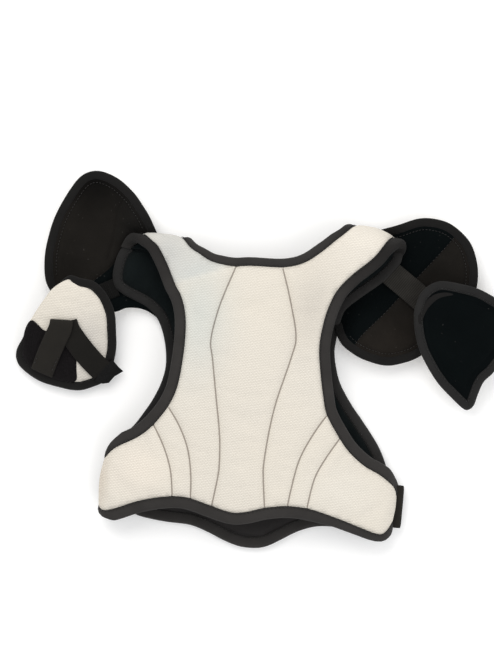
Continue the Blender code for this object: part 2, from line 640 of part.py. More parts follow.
def build_arm_straps():
    patch = closed_curve(LOOP_PATCH_LEFT, 2)
    add_piece("arm_loop_patch_left",
              slab_mesh("patch", patch, lowered(guard_left_height, -PATCH_TOP),
                        lowered(guard_left_height, -PATCH_LIFT), (12.0, 30.0)), "loop", "guard_pivot_left")
    add_piece("arm_strap_anchor_left",
              lying_strap("anchor", [(-223, 2), (-217, 26), (-205, 49)], guard_left_height,
                          SEWN_STRAP_LIFT, (1, -0.15), STRAP_WIDTH), "elastic", "guard_pivot_left")
    add_piece("arm_strap_left",
              lying_strap("free", [(-196, 45), (-182, 25), (-164, 10)], guard_left_height,
                          FREE_STRAP_LIFT, (0.75, 0.66), STRAP_WIDTH - 2), "elastic", "strap_pivot_left")
    add_piece("arm_hook_tab_left",
              lying_strap("tab", [(-160, 7), (-154, 4), (-146, 1)], guard_left_height,
                          FREE_STRAP_LIFT, (0.55, 0.8), STRAP_WIDTH - 5), "hook", "strap_pivot_left")
    under = lowered(guard_right_height, GUARD_THICKNESS)
    patch = closed_curve(LOOP_PATCH_RIGHT, 2)
    add_piece("arm_loop_patch_right",
              slab_mesh("patch", patch, lowered(under, UNDER_PATCH_TOP),
                        lowered(under, UNDER_PATCH_BOTTOM), (14.0, 14.0)),
              "loop", "guard_pivot_right")
    add_piece("arm_strap_anchor_right",
              lying_strap("anchor", [(257, 96), (260, 80), (258, 64)], under, -UNDER_STRAP_DROP, (1, 0),
                          STRAP_WIDTH), "elastic", "guard_pivot_right")
    add_piece("arm_strap_right",
              lying_strap("free", [(257, 61), (259, 76), (261, 92)], under, -UNDER_FREE_DROP, (1, 0),
                          STRAP_WIDTH), "elastic", "strap_pivot_right")
    add_piece("arm_hook_tab_right",
              lying_strap("tab", [(261.1, 92.6), (262, 104), (263, 114)], under, -UNDER_FREE_DROP, (1, 0),
                          STRAP_WIDTH - 4), "hook", "strap_pivot_right")


def build_links():
    """Ribbed elastic straps that join each cap to its arm guard."""
    height = cap_height(CAP_RIGHT_CENTRE, CAP_RIGHT_AXIS)
    line = [(x, y, height(x, y) + LINK_LIFT) for x, y in ((146, 139), (156, 130), (167, 122), (177, 115))]
    add_piece("link_elastic_right", ribbon_mesh("link", line, (0.57, 0.82, 0), STRAP_WIDTH,
                                                STRAP_THICKNESS), "elastic", "cap_pivot_right")
    height = cap_height(CAP_LEFT_CENTRE, CAP_LEFT_AXIS)
    line = [(x, y, height(x, y) + LINK_LIFT) for x, y in ((-172, 128), (-180, 118), (-190, 108), (-198, 98))]
    add_piece("link_elastic_left", ribbon_mesh("link", line, (0.75, -0.66, 0), STRAP_WIDTH,
                                               STRAP_THICKNESS), "elastic", "cap_pivot_left")


def build_side_straps():
    """Rib elastics sewn to the wings, tucked in under them."""
    line = [(177, -112, 27), (178, -112, 20), (177.5, -112, 12), (172, -112, 7), (160, -112, 6),
            (151, -112, 6)]
    add_piece("side_strap_right", ribbon_mesh("strap", line, (0, 1, 0), SIDE_STRAP_WIDTH,
                                              STRAP_THICKNESS), "elastic", "side_strap_pivot_right")
    line = [(150, -112, 6), (144, -112, 6), (137, -112, 6)]
    add_piece("side_hook_tab_right", ribbon_mesh("tab", line, (0, 1, 0), SIDE_STRAP_WIDTH - 4,
                                                 STRAP_THICKNESS), "hook", "side_strap_pivot_right")
    line = [(-150, -112, 11), (-151, -112, 8), (-148, -112, 5.5), (-143, -112, 5), (-139.5, -112, 5)]
    add_piece("side_strap_left", ribbon_mesh("strap", line, (0, 1, 0), SIDE_STRAP_WIDTH,
                                             STRAP_THICKNESS), "elastic", "side_strap_pivot_left")
    line = [(-138.5, -112, 5), (-132, -112, 5), (-126, -112, 5)]
    add_piece("side_hook_tab_left", ribbon_mesh("tab", line, (0, 1, 0), SIDE_STRAP_WIDTH - 4,
                                                STRAP_THICKNESS), "hook", "side_strap_pivot_left")


def build_pivots():
    make_pivot("back_pivot", *FOLD_POINT)
    make_pivot("cap_pivot_left", *CAP_LEFT_AXIS[0], CAP_PIVOT_HEIGHT)
    make_pivot("cap_pivot_right", *CAP_RIGHT_AXIS[0], CAP_PIVOT_HEIGHT)
    make_pivot("guard_pivot_left", *GUARD_LEFT_AXIS[0], GUARD_PIVOT_HEIGHT, "cap_pivot_left")
    make_pivot("guard_pivot_right", *GUARD_RIGHT_AXIS[0], GUARD_PIVOT_HEIGHT, "cap_pivot_right")
    make_pivot("strap_pivot_left", *ARM_STRAP_HINGE_LEFT, "guard_pivot_left")
    make_pivot("strap_pivot_right", *ARM_STRAP_HINGE_RIGHT, "guard_pivot_right")
    make_pivot("side_strap_pivot_left", *SIDE_STRAP_HINGE_LEFT, "back_pivot")
    make_pivot("side_strap_pivot_right", *SIDE_STRAP_HINGE_RIGHT, "back_pivot")


def build_all():
    clear_scene()
    for name in MATERIALS:
        make_material(name)
    build_pivots()
    build_chest()
    build_shoulder_folds()
    build_back()
    build_cap("left", CAP_LEFT, CAP_LEFT_CENTRE, CAP_LEFT_AXIS)
    build_cap("right", CAP_RIGHT, CAP_RIGHT_CENTRE, CAP_RIGHT_AXIS)
    build_guard("left", GUARD_LEFT, guard_left_height, True, (12.0, 20.0))
    build_guard("right", GUARD_RIGHT, guard_right_height, False, (16.0, 16.0))
    build_links()
    build_arm_straps()
    build_side_straps()


build_all()
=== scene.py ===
"""Looks of the hockey shoulder pads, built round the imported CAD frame.

Outlines and heights below are in millimetres in the frame's own axes (+X across the shoulders,
+Y from hem to neck, +Z up), and become metres when a mesh is made.
"""
import json
import math
import random

import bmesh
import bpy
import numpy as np
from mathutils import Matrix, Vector
from mathutils.geometry import delaunay_2d_cdt


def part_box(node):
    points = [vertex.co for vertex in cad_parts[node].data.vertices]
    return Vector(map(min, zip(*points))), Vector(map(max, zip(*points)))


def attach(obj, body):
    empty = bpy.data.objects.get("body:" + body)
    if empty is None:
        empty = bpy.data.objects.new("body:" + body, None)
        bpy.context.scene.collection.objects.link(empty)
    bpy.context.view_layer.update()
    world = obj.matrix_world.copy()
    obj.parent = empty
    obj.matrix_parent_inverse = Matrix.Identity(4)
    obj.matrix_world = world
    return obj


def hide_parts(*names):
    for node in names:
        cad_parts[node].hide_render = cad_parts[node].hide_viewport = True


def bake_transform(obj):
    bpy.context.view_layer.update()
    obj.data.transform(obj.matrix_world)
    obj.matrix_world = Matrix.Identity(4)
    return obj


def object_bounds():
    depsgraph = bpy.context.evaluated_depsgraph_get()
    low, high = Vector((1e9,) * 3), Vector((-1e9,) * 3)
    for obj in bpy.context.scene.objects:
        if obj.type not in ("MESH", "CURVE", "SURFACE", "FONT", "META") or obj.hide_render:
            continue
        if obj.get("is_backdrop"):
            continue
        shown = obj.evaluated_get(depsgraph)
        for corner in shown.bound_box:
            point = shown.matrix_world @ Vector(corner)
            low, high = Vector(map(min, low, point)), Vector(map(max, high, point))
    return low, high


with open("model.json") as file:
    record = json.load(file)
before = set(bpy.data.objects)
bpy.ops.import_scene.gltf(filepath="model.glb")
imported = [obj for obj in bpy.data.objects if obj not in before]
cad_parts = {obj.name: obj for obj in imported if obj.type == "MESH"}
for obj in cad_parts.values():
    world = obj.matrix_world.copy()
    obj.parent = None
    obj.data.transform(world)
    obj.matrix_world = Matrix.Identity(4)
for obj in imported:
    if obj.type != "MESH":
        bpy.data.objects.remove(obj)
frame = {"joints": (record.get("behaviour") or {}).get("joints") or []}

CAD_BOX = [list(corner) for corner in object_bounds()]
MM = 0.001
SEED = 11
ROW_STEP = 0.866
STEPS_PER_SPAN = 12
AROUND_TAPE = 14
JOINTS = {joint["name"]: joint for joint in frame["joints"]}

# ------------------------------------------------------------------ driving sizes, millimetres
FOLD = np.array(JOINTS["shoulder_fold"]["pos_m"]) / MM
FOLD_ALONG = -np.array(JOINTS["shoulder_fold"]["axis"])[:2]
FOLD_OUT = np.array([-FOLD_ALONG[1], FOLD_ALONG[0]])
FOLD_RADIUS = FOLD[2]
QUARTER = FOLD_RADIUS * math.pi / 2
BACK_TOP = 2 * FOLD_RADIUS
BACK_LINING_TOP, BACK_LINING_UNDER = -10.5, -11.8
CHEST_TOP, CHEST_LINING_UNDER, CHEST_COVER_TOP = 10.5, -8.8, 1.6
TAPE = 12.0
TAPE_OVERLAP = 1.0
SEWN_END = 0.08
TUCK_REACH = 50.0
TURNED_END = 44.0
NECK_TAPE = 9.5
HEM_TAPE = 13.0
GUARD_TAPE_LEFT, GUARD_TAPE_RIGHT = 9.8, 10.0
ELASTIC = 25.0
STRAP_THICKNESS = 2.0
SIDE_ELASTIC, SIDE_TAB = 46.0, 42.0
WING_START, WING_REACH, WING_DROP = 60.0, 110.0, 15.0
CREASE_START = (-90.0, 107.6)
CREASE_ALONG = (0.932, 0.361)
CREASE_SLOPE = 0.17
ROLL_REACH, ROLL_DROP = 13.0, 9.0
FLOOR_GAP = 0.4
LOOSE_EDGE = 5.0
LOOSE_SEAM = 4.0
STUFFING = 4.0
SIM_STEPS = 20
CLOTH = {"quality": 5, "mass": 0.15, "tension_stiffness": 15, "compression_stiffness": 15,
         "bending_stiffness": 0.05}
SIDE_STRAP_Y = -112.0
CREASE_SHADE = (-0.13, -0.095, -0.05)
# each patch of painted light and shade: middle of the patch, how far it reaches in x and y, and its change
# of red, green, blue
PAINTED_LIGHT_PATCHES = [((-60, 75), (32, 60), (-0.12, -0.05, 0.0)), ((-100, 142), (16, 22), (-0.10, -0.09, -0.07)),
         ((-190, 210), (48, 24), (-0.62, -0.62, -0.6)), ((155, 60), (46, 34), (0.5, 0.42, 0.36)),
         ((60, 95), (22, 42), (-0.13, -0.13, -0.12)), ((112, 165), (36, 24), (0.07, 0.07, 0.08)),
         ((-112, -95), (32, 26), (0.09, 0.07, 0.06)), ((-152, -112), (9, 34), (-0.03, -0.07, -0.11)),
         ((112, -100), (46, 30), (0.03, 0.04, 0.05)), ((-178, 30), (24, 40), (-0.16, -0.15, -0.12))]
CAP_RIM = 9.5
ROOT_HEIGHT = 8.0


# ------------------------------------------------------------------ curves
def smooth(points, closed=False, spacing=3.0):
    """Catmull-Rom curve through the points, sampled at an even spacing."""
    points = [np.array(p, float) for p in points]
    count = len(points)
    spans = count if closed else count - 1
    dense = []
    for i in range(spans):
        if closed:
            a, b, c, d = (points[(i + k) % count] for k in (-1, 0, 1, 2))
        else:
            a, b, c, d = (points[min(max(i + k, 0), count - 1)] for k in (-1, 0, 1, 2))
        for k in range(STEPS_PER_SPAN):
            t = k / STEPS_PER_SPAN
            dense.append(0.5 * (2 * b + (c - a) * t + (2 * a - 5 * b + 4 * c - d) * t * t
                                + (3 * b - a - 3 * c + d) * t ** 3))
    dense.append(points[0] if closed else points[-1])
    dense = np.array(dense)
    steps = np.linalg.norm(np.diff(dense, axis=0), axis=1)
    length = np.concatenate([[0], np.cumsum(steps)])
    number = max(2, int(round(length[-1] / spacing)))
    targets = np.linspace(0, length[-1], number + 1)
    result = np.stack([np.interp(targets, length, dense[:, k]) for k in range(dense.shape[1])], 1)
    return result[:-1] if closed else result


def sideways(curve, distance, closed=False):
    """The curve moved to the right of its own direction."""
    if closed:
        tangent = np.roll(curve, -1, 0) - np.roll(curve, 1, 0)
    else:
        tangent = np.gradient(curve, axis=0)
    tangent = tangent / np.maximum(np.linalg.norm(tangent, axis=1, keepdims=True), 1e-9)
    distance = np.asarray(distance, float).reshape(-1, 1)
    return curve + np.stack([tangent[:, 1], -tangent[:, 0]], 1) * distance


def lengths(curve):
    """Distance along a curve at each of its points."""
    return np.concatenate([[0], np.cumsum(np.linalg.norm(np.diff(curve, axis=0), axis=1))])


def area(outline):
    """Signed area: positive when the outline runs anticlockwise."""
    x, y = outline[:, 0], outline[:, 1]
    return 0.5 * float(np.sum(x * np.roll(y, -1) - np.roll(x, -1) * y))


def distance_to(points, curve, closed=False):
    """Distance of each point from a line of points."""
    if closed:
        curve = np.vstack([curve, curve[:1]])
    best = np.full(len(points), 1e9)
    for start, end in zip(curve[:-1], curve[1:]):
        run = end - start
        span = max(float(run @ run), 1e-12)
        t = np.clip(((points - start) @ run) / span, 0, 1)
        gap = np.linalg.norm(points - (start + t[:, None] * run), axis=1)
        best = np.minimum(best, gap)
    return best


def inside(points, outline):
    """Which points lie inside an outline."""
    x, y = points[:, 0], points[:, 1]
    odd = np.zeros(len(points), bool)
    for (x0, y0), (x1, y1) in zip(outline, np.roll(outline, -1, 0)):
        crosses = (y0 > y) != (y1 > y)
        with np.errstate(divide="ignore", invalid="ignore"):
            cut = (x1 - x0) * (y - y0) / (y1 - y0) + x0
        odd ^= crosses & (x < cut)
    return odd


# ------------------------------------------------------------------ surfaces that pieces lie on
def past_fold(x, y):
    """How far a plan point lies beyond the shoulder fold's centre line."""
    return (x - FOLD[0]) * FOLD_OUT[0] + (y - FOLD[1]) * FOLD_OUT[1]


def fold_shift(x):
    """The soft fold wanders either side of the hinge line."""
    return np.interp(x, [-150, -129, -88, -60, 0, 72, 90, 122, 143, 155],
                     [9, 7.5, 2, -2, 0, 12, 10, 2.5, -6, -9])


def crease_drop(x, y):
    """The left shoulder bends down beyond a crease that runs from armhole to neck."""
    past = np.maximum((x - CREASE_START[0]) * -CREASE_ALONG[1] + (y - CREASE_START[1]) * CREASE_ALONG[0], 0)
    side = np.clip((-x - 25.0) / 30.0, 0, 1)
    return np.minimum(CREASE_SLOPE * past ** 2 / (past + 8.0), CREASE_SLOPE * 30.0) * side


def side_roll(x, y):
    """The free side edges of the wings curl under."""
    left_edge = np.interp(y, [-140, -118, -104, -90, -70, -50], [-149.5, -151.5, -151, -149, -152, -165])
    right_edge = np.interp(y, [-140, -127, -113, -96, -85, -70, -50], [168, 169.5, 171, 170, 165, 171, 185])
    gap = np.minimum(x - left_edge, right_edge - x)
    t = np.clip(1 - gap / ROLL_REACH, 0, 1)
    return ROLL_DROP * (1 - np.sqrt(np.maximum(0, 1 - t * t))) + 0.8 * np.maximum(-gap, 0)


def back_base(x, y):
    """Upper face of the back panel before it is padded out."""
    reach = np.clip((np.abs(x) - WING_START) / WING_REACH, 0, 1)
    low = np.clip((-past_fold(x, y) - 40.0) / 120.0, 0, 1)
    crown = 2.5 * np.exp(-(x / 60.0) ** 2) * low
    return BACK_TOP - WING_DROP * low * reach ** 1.6 + crown - crease_drop(x, y) - side_roll(x, y)


def back_place(points, height):
    """Unrolled back panel to space: flat up to the fold, then round it."""
    x, y = points[:, 0], points[:, 1]
    beyond = past_fold(x, y) - fold_shift(x)
    flat = np.stack([x, y, back_base(x, y) + height], 1)
    foot = points - np.maximum(beyond, 0)[:, None] * FOLD_OUT
    bend = FOLD_RADIUS - crease_drop(foot[:, 0], foot[:, 1])
    angle = math.pi / 2 - np.maximum(beyond, 0) / bend
    radius = bend + height
    out = radius * np.cos(angle)
    rolled = np.stack([foot[:, 0] + FOLD_OUT[0] * out, foot[:, 1] + FOLD_OUT[1] * out,
                       FOLD[2] + radius * np.sin(angle)], 1)
    rolled[:, 2] = np.maximum(rolled[:, 2], FLOOR_GAP)
    return np.where((beyond > 0)[:, None], rolled, flat)


def unroll(point):
    """A plan point seen from above, as a point of the unrolled back panel."""
    x, y = point
    beyond = float(past_fold(x, y) - fold_shift(x))
    if beyond <= 0:
        return (x, y)
    bend = FOLD_RADIUS - float(crease_drop(np.array(x - beyond * FOLD_OUT[0]),
                                           np.array(y - beyond * FOLD_OUT[1])))
    arc = bend * math.asin(min(0.985, beyond / bend))
    return (x + FOLD_OUT[0] * (arc - beyond), y + FOLD_OUT[1] * (arc - beyond))


def over_fold(x, beyond):
    """An unrolled point that far round the fold, straight out from x on the fold line."""
    foot = FOLD[1] + (x - FOLD[0]) * FOLD_ALONG[1] / FOLD_ALONG[0]
    shift = beyond + float(fold_shift(x))
    return (x + FOLD_OUT[0] * shift, foot + FOLD_OUT[1] * shift)


def on_height(height_of):
    """A placing rule for pieces that lie on a height function."""
    def place(points, height):
        x, y = points[:, 0], points[:, 1]
        return np.stack([x, y, height_of(x, y) + height], 1)
    return place


# ------------------------------------------------------------------ mesh making
def soft_tint(plan):
    """Painted light and shade over the cloth's colour: cooler on the left, warmer on the right, with
    painted shade past the left shoulder's crease and a painted highlight along it.
    """
    tint = np.zeros((len(plan), 3))
    for (x, y), (reach_x, reach_y), shift in PAINTED_LIGHT_PATCHES:
        weight = np.exp(-((plan[:, 0] - x) / reach_x) ** 2 - ((plan[:, 1] - y) / reach_y) ** 2)
        tint += weight[:, None] * np.array(shift)
    x, y = plan[:, 0], plan[:, 1]
    past = (x - CREASE_START[0]) * -CREASE_ALONG[1] + (y - CREASE_START[1]) * CREASE_ALONG[0]
    # painted shade where the left shoulder bends down past its crease
    bent = 1 / (1 + np.exp(-past / 1.2)) * np.clip((-x - 20) / 25, 0, 1) * np.clip((x + 165) / 20, 0, 1)
    # a thin painted highlight along the crease
    lit = np.exp(-((past + 1.5) / 1.6) ** 2) * np.clip((-x - 30) / 12, 0, 1)
    return tint + bent[:, None] * np.array(CREASE_SHADE) + lit[:, None] * 0.05


def make_mesh(name, verts, faces, material, cloth=None, seam=None):
    """A smooth-shaded object from millimetre points, with weave, seam and painted light and shade
    attributes.
    """
    mesh = bpy.data.meshes.new(name)
    mesh.from_pydata([tuple(v) for v in np.asarray(verts) * MM], [], faces)
    mesh.validate()
    if cloth is not None:
        layer = mesh.attributes.new("cloth", "FLOAT_VECTOR", "POINT")
        flat = np.zeros((len(verts), 3))
        flat[:, :2] = cloth
        layer.data.foreach_set("vector", flat.ravel())
    if seam is not None:
        # painted light and shade for the cloth's colour, stored per point
        layer = mesh.attributes.new("tint", "FLOAT_VECTOR", "POINT")
        layer.data.foreach_set("vector", soft_tint(np.asarray(cloth)).ravel())
        layer = mesh.attributes.new("seam", "FLOAT", "POINT")
        layer.data.foreach_set("value", np.asarray(seam, float))
    mesh.materials.append(material)
    mesh.shade_smooth()
    piece = bpy.data.objects.new(name, mesh)
    bpy.context.scene.collection.objects.link(piece)
    return piece


def plan_triangles(outline, lines=(), spacing=5.0):
    """Even triangles that fill an outline and follow the lines drawn inside it."""
    points = [tuple(p) for p in outline]
    count = len(points)
    edges = [(i, (i + 1) % count) for i in range(count)]
    guides = [np.asarray(outline)]
    for line in lines:
        line = line[inside(line, outline) & (distance_to(line, outline, True) > 0.8)]
        if len(line) < 2:
            continue
        first = len(points)
        points += [tuple(p) for p in line]
        for i in range(len(line) - 1):
            if np.linalg.norm(line[i + 1] - line[i]) < 3 * spacing:
                edges.append((first + i, first + i + 1))
        guides.append(line)
    low, high = outline.min(0), outline.max(0)
    rows = int((high[1] - low[1]) / (spacing * ROW_STEP)) + 1
    grid = []
    for row in range(rows):
        y = low[1] + row * spacing * ROW_STEP
        shift = 0.5 * spacing * (row % 2)
        grid += [(x + shift, y) for x in np.arange(low[0], high[0], spacing)]
    grid = np.array(grid)
    keep = inside(grid, outline)
    for guide in guides:
        keep &= distance_to(grid, guide, guide is guides[0]) > 0.5 * spacing
    points += [tuple(p) for p in grid[keep]]
    made = delaunay_2d_cdt([Vector(p) for p in points], edges, [], 1, 1e-5)
    verts = np.array([tuple(v) for v in made[0]])
    return verts, [tuple(face) for face in made[2]]


def boundary_loop(faces):
    """Directed edges used by one triangle only."""
    seen = {}
    for face in faces:
        for a, b in zip(face, face[1:] + face[:1]):
            seen[(a, b)] = True
    return [(a, b) for a, b in seen if (b, a) not in seen]


def fit(piece, slot, body, *nodes):
    """Attach a piece to the body it moves with and hide the CAD nodes it stands in for; the material slot
    is not used.

    Body is a body's name, or a rule that is applied to the piece instead of attaching it.
    """
    if callable(body):
        body(piece)
    else:
        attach(piece, body)
    if nodes:
        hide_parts(*nodes)


def padded_sheet(name, outline, place, top, bottom, material, lines=(), spacing=5.0, divide=None,
                 second=None,
                 beneath=None):
    """A closed padded sheet: top and bottom give the height of each face above the surface.

    Right of the dividing line its faces take the second fabric; beneath is the fabric of its underside.
    """
    plan, faces = plan_triangles(outline, lines, spacing)
    near_edge = distance_to(plan, outline, True)
    near_seam = np.full(len(plan), 60.0)
    for line in lines[::3] if lines else []:
        near_seam = np.minimum(near_seam, distance_to(plan, line))
    upper = place(plan, top(plan, near_edge, near_seam))
    lower = place(plan, bottom(plan, near_edge, near_seam))
    lower[:, 2] = np.maximum(lower[:, 2], FLOOR_GAP)
    upper[:, 2] = np.maximum(upper[:, 2], lower[:, 2] + 0.2)
    count = len(plan)
    solid = list(faces)
    solid += [tuple(count + i for i in reversed(face)) for face in faces]
    for a, b in boundary_loop(faces):
        solid.append((b, a, count + a, count + b))
    verts = np.vstack([upper, lower])
    piece = make_mesh(name, verts, solid, material, np.vstack([plan, plan]),
                      np.concatenate([near_seam, near_seam]))
    layer = piece.data.attributes.new("loose", "FLOAT", "POINT")
    loose = np.clip(near_edge / LOOSE_EDGE, 0, 1) * np.clip(near_seam / LOOSE_SEAM, 0, 1)
    layer.data.foreach_set("value", np.concatenate([loose, np.zeros(count)]))
    if beneath is not None:
        piece.data.materials.append(beneath)
        under = np.array([min(face) >= count or max(face) >= count for face in solid])
        piece.data.polygons.foreach_set("material_index", under.astype(int))
    if divide is not None:
        piece.data.materials.append(second)
        middle = np.array([np.vstack([plan, plan])[list(face)].mean(0) for face in solid])
        nearest = np.argmin(np.linalg.norm(middle[:, None, :] - divide[None, :, :], axis=2), axis=1)
        along = np.gradient(divide, axis=0)[nearest]
        away = middle - divide[nearest]
        right = along[:, 0] * away[:, 1] - along[:, 1] * away[:, 0] < 0
        piece.data.polygons.foreach_set("material_index", right.astype(int))
    return piece


def stuff(piece, slack, cap):
    """Press the cloth out from inside, held along its edges and sewn lines, so that it puckers."""
    mesh = piece.data
    count = len(mesh.vertices)
    start = np.empty(count * 3)
    mesh.vertices.foreach_get("co", start)
    start = start.reshape(-1, 3)
    loose = np.empty(count)
    mesh.attributes["loose"].data.foreach_get("value", loose)
    group = piece.vertex_groups.new(name="sewn")
    for i in range(count):
        group.add([i], float(1 - loose[i]), "REPLACE")
    cloth = piece.modifiers.new("cloth", "CLOTH")
    for setting, value in CLOTH.items():
        setattr(cloth.settings, setting, value)
    cloth.settings.vertex_group_mass = group.name
    cloth.settings.shrink_min = -slack
    cloth.settings.use_pressure = True
    cloth.settings.uniform_pressure_force = STUFFING
    cloth.settings.effector_weights.gravity = 0
    cloth.collision_settings.use_collision = False
    scene = bpy.context.scene
    for step in range(1, SIM_STEPS + 1):
        scene.frame_set(step)
    settled = piece.evaluated_get(bpy.context.evaluated_depsgraph_get()).to_mesh()
    end = np.empty(count * 3)
    settled.vertices.foreach_get("co", end)
    piece.modifiers.remove(cloth)
    scene.frame_set(1)
    moved = end.reshape(-1, 3) - start
    far = np.linalg.norm(moved, axis=1)
    moved *= (cap * MM * np.tanh(far / (cap * MM)) / np.maximum(far, 1e-9))[:, None]
    print("stuffed", piece.name, "largest move", round(float(far.max() / MM), 2), "mm")
    mesh.vertices.foreach_set("co", (start + moved).ravel())
    mesh.update()


def tape(name, inner, outer, place, middle, half, material, closed=False, tapers=(0, 0), ripple=0.25):
    """A fold-over tape: a flattened, rounded tube between two curves, narrowed at its sewn-in ends."""
    around = AROUND_TAPE
    draw = random.Random(name + str(SEED))
    count = len(inner)
    run = lengths(inner)
    narrow = np.ones(count)
    for reach, distance in zip(tapers, (run, run[-1] - run)):
        if reach:
            t = np.clip(distance / reach, 0, 1)
            narrow = np.minimum(narrow, SEWN_END + (1 - SEWN_END) * t ** 0.7)
    outer = inner + (outer - inner) * narrow[:, None]
    phase = draw.uniform(0, 6)
    wave = ripple * (np.sin(run / 7.0 + phase) + 0.6 * np.sin(run / 3.1 + 2 * phase))
    rings = []
    cloth = []
    width = np.linalg.norm(outer - inner, axis=1)
    for k in range(around):
        turn = 2 * math.pi * k / around
        across = math.copysign(abs(math.cos(turn)) ** 0.55, math.cos(turn)) * 0.5 + 0.5
        lift = math.copysign(abs(math.sin(turn)) ** 0.7, math.sin(turn))
        slim = 1.0 if lift < 0 else 1.0 - 0.25 * (1 - across)
        points = inner + (outer - inner) * across
        rings.append(place(points, middle + half * lift * slim * np.minimum(1,
                narrow + 0.3) + wave * max(lift, 0)))
        cloth.append(np.stack([run, width * across], 1))
    verts = np.stack(rings, 1).reshape(-1, 3)
    cloth = np.stack(cloth, 1).reshape(-1, 2)
    faces = []
    for i in range(count if closed else count - 1):
        j = (i + 1) % count
        for k in range(around):
            m = (k + 1) % around
            faces.append((i * around + k, j * around + k, j * around + m, i * around + m))
    if not closed:
        faces.append(tuple(range(around)))
        faces.append(tuple((count - 1) * around + k for k in reversed(range(around))))
    piece = make_mesh(name, verts, faces, material, cloth)
    fix_normals(piece)
    return piece


def fix_normals(piece):
    """Turn every face outward."""
    shape = bmesh.new()
    shape.from_mesh(piece.data)
    bmesh.ops.recalc_face_normals(shape, faces=shape.faces[:])
    shape.to_mesh(piece.data)
    shape.free()


def stitches(name, curve, place, height, material, pitch=4.2, length=2.6, width=0.55):
    """A row of sewn stitches, each a small rounded thread lying on the surface."""
    run = lengths(curve)
    verts = []
    faces = []
    for start in np.arange(1.0, run[-1] - length, pitch):
        ends = []
        for at in (start, start + length / 2, start + length):
            ends.append([np.interp(at, run, curve[:, k]) for k in (0, 1)])
        ends = np.array(ends)
        along = ends[2] - ends[0]
        side = np.array([along[1], -along[0]]) / max(np.linalg.norm(along), 1e-6) * width / 2
        rise = (0.0, 0.45, 0.0)
        first = len(verts)
        for point, lift in zip(ends, rise):
            ring = [(point - side, height - 0.3), (point + side, height - 0.3),
                    (point, height + 0.15 + lift)]
            for plan, level in ring:
                verts.append(place(plan[None, :], level)[0])
        for j in (0, 3):
            for k in range(3):
                m = (k + 1) % 3
                faces.append((first + j + k, first + j + m, first + j + 3 + m, first + j + 3 + k))
        faces.append((first + 2, first + 1, first))
        faces.append((first + 6, first + 7, first + 8))
    piece = make_mesh(name, np.array(verts), faces, material)
    fix_normals(piece)
    return piece


def strap(name, line, sides, width, thickness, material, rib=0.0, rib_pitch=2.2, around=12):
    """A webbing strap swept along a space curve, with rounded edges and optional cross ribs."""
    line = np.asarray(line, float)
    run = lengths(line)
    tangent = np.gradient(line, axis=0)
    tangent /= np.linalg.norm(tangent, axis=1, keepdims=True)
    sides = np.broadcast_to(np.asarray(sides, float), line.shape)
    sides = sides - tangent * np.sum(sides * tangent, 1, keepdims=True)
    sides = sides / np.linalg.norm(sides, axis=1, keepdims=True)
    up = np.cross(sides, tangent)
    swell = rib * np.abs(np.sin(math.pi * run / rib_pitch)) if rib else np.zeros(len(run))
    rings = []
    cloth = []
    for k in range(around):
        turn = 2 * math.pi * k / around
        across = math.copysign(abs(math.cos(turn)) ** 0.35, math.cos(turn))
        lift = math.copysign(abs(math.sin(turn)) ** 0.8, math.sin(turn))
        half = thickness / 2 + swell * (1 if lift > 0 else 0)
        rings.append(line + sides * across * width / 2 + up * (lift * half)[:, None])
        cloth.append(np.stack([run, np.full(len(run), across * width / 2)], 1))
    verts = np.stack(rings, 1).reshape(-1, 3)
    cloth = np.stack(cloth, 1).reshape(-1, 2)
    faces = []
    for i in range(len(line) - 1):
        for k in range(around):
            m = (k + 1) % around
            faces.append((i * around + k, (i + 1) * around + k, (i + 1) * around + m, i * around + m))
    faces.append(tuple(range(around)))
    faces.append(tuple((len(line) - 1) * around + k for k in reversed(range(around))))
    piece = make_mesh(name, verts, faces, material, cloth)
    fix_normals(piece)
    return piece


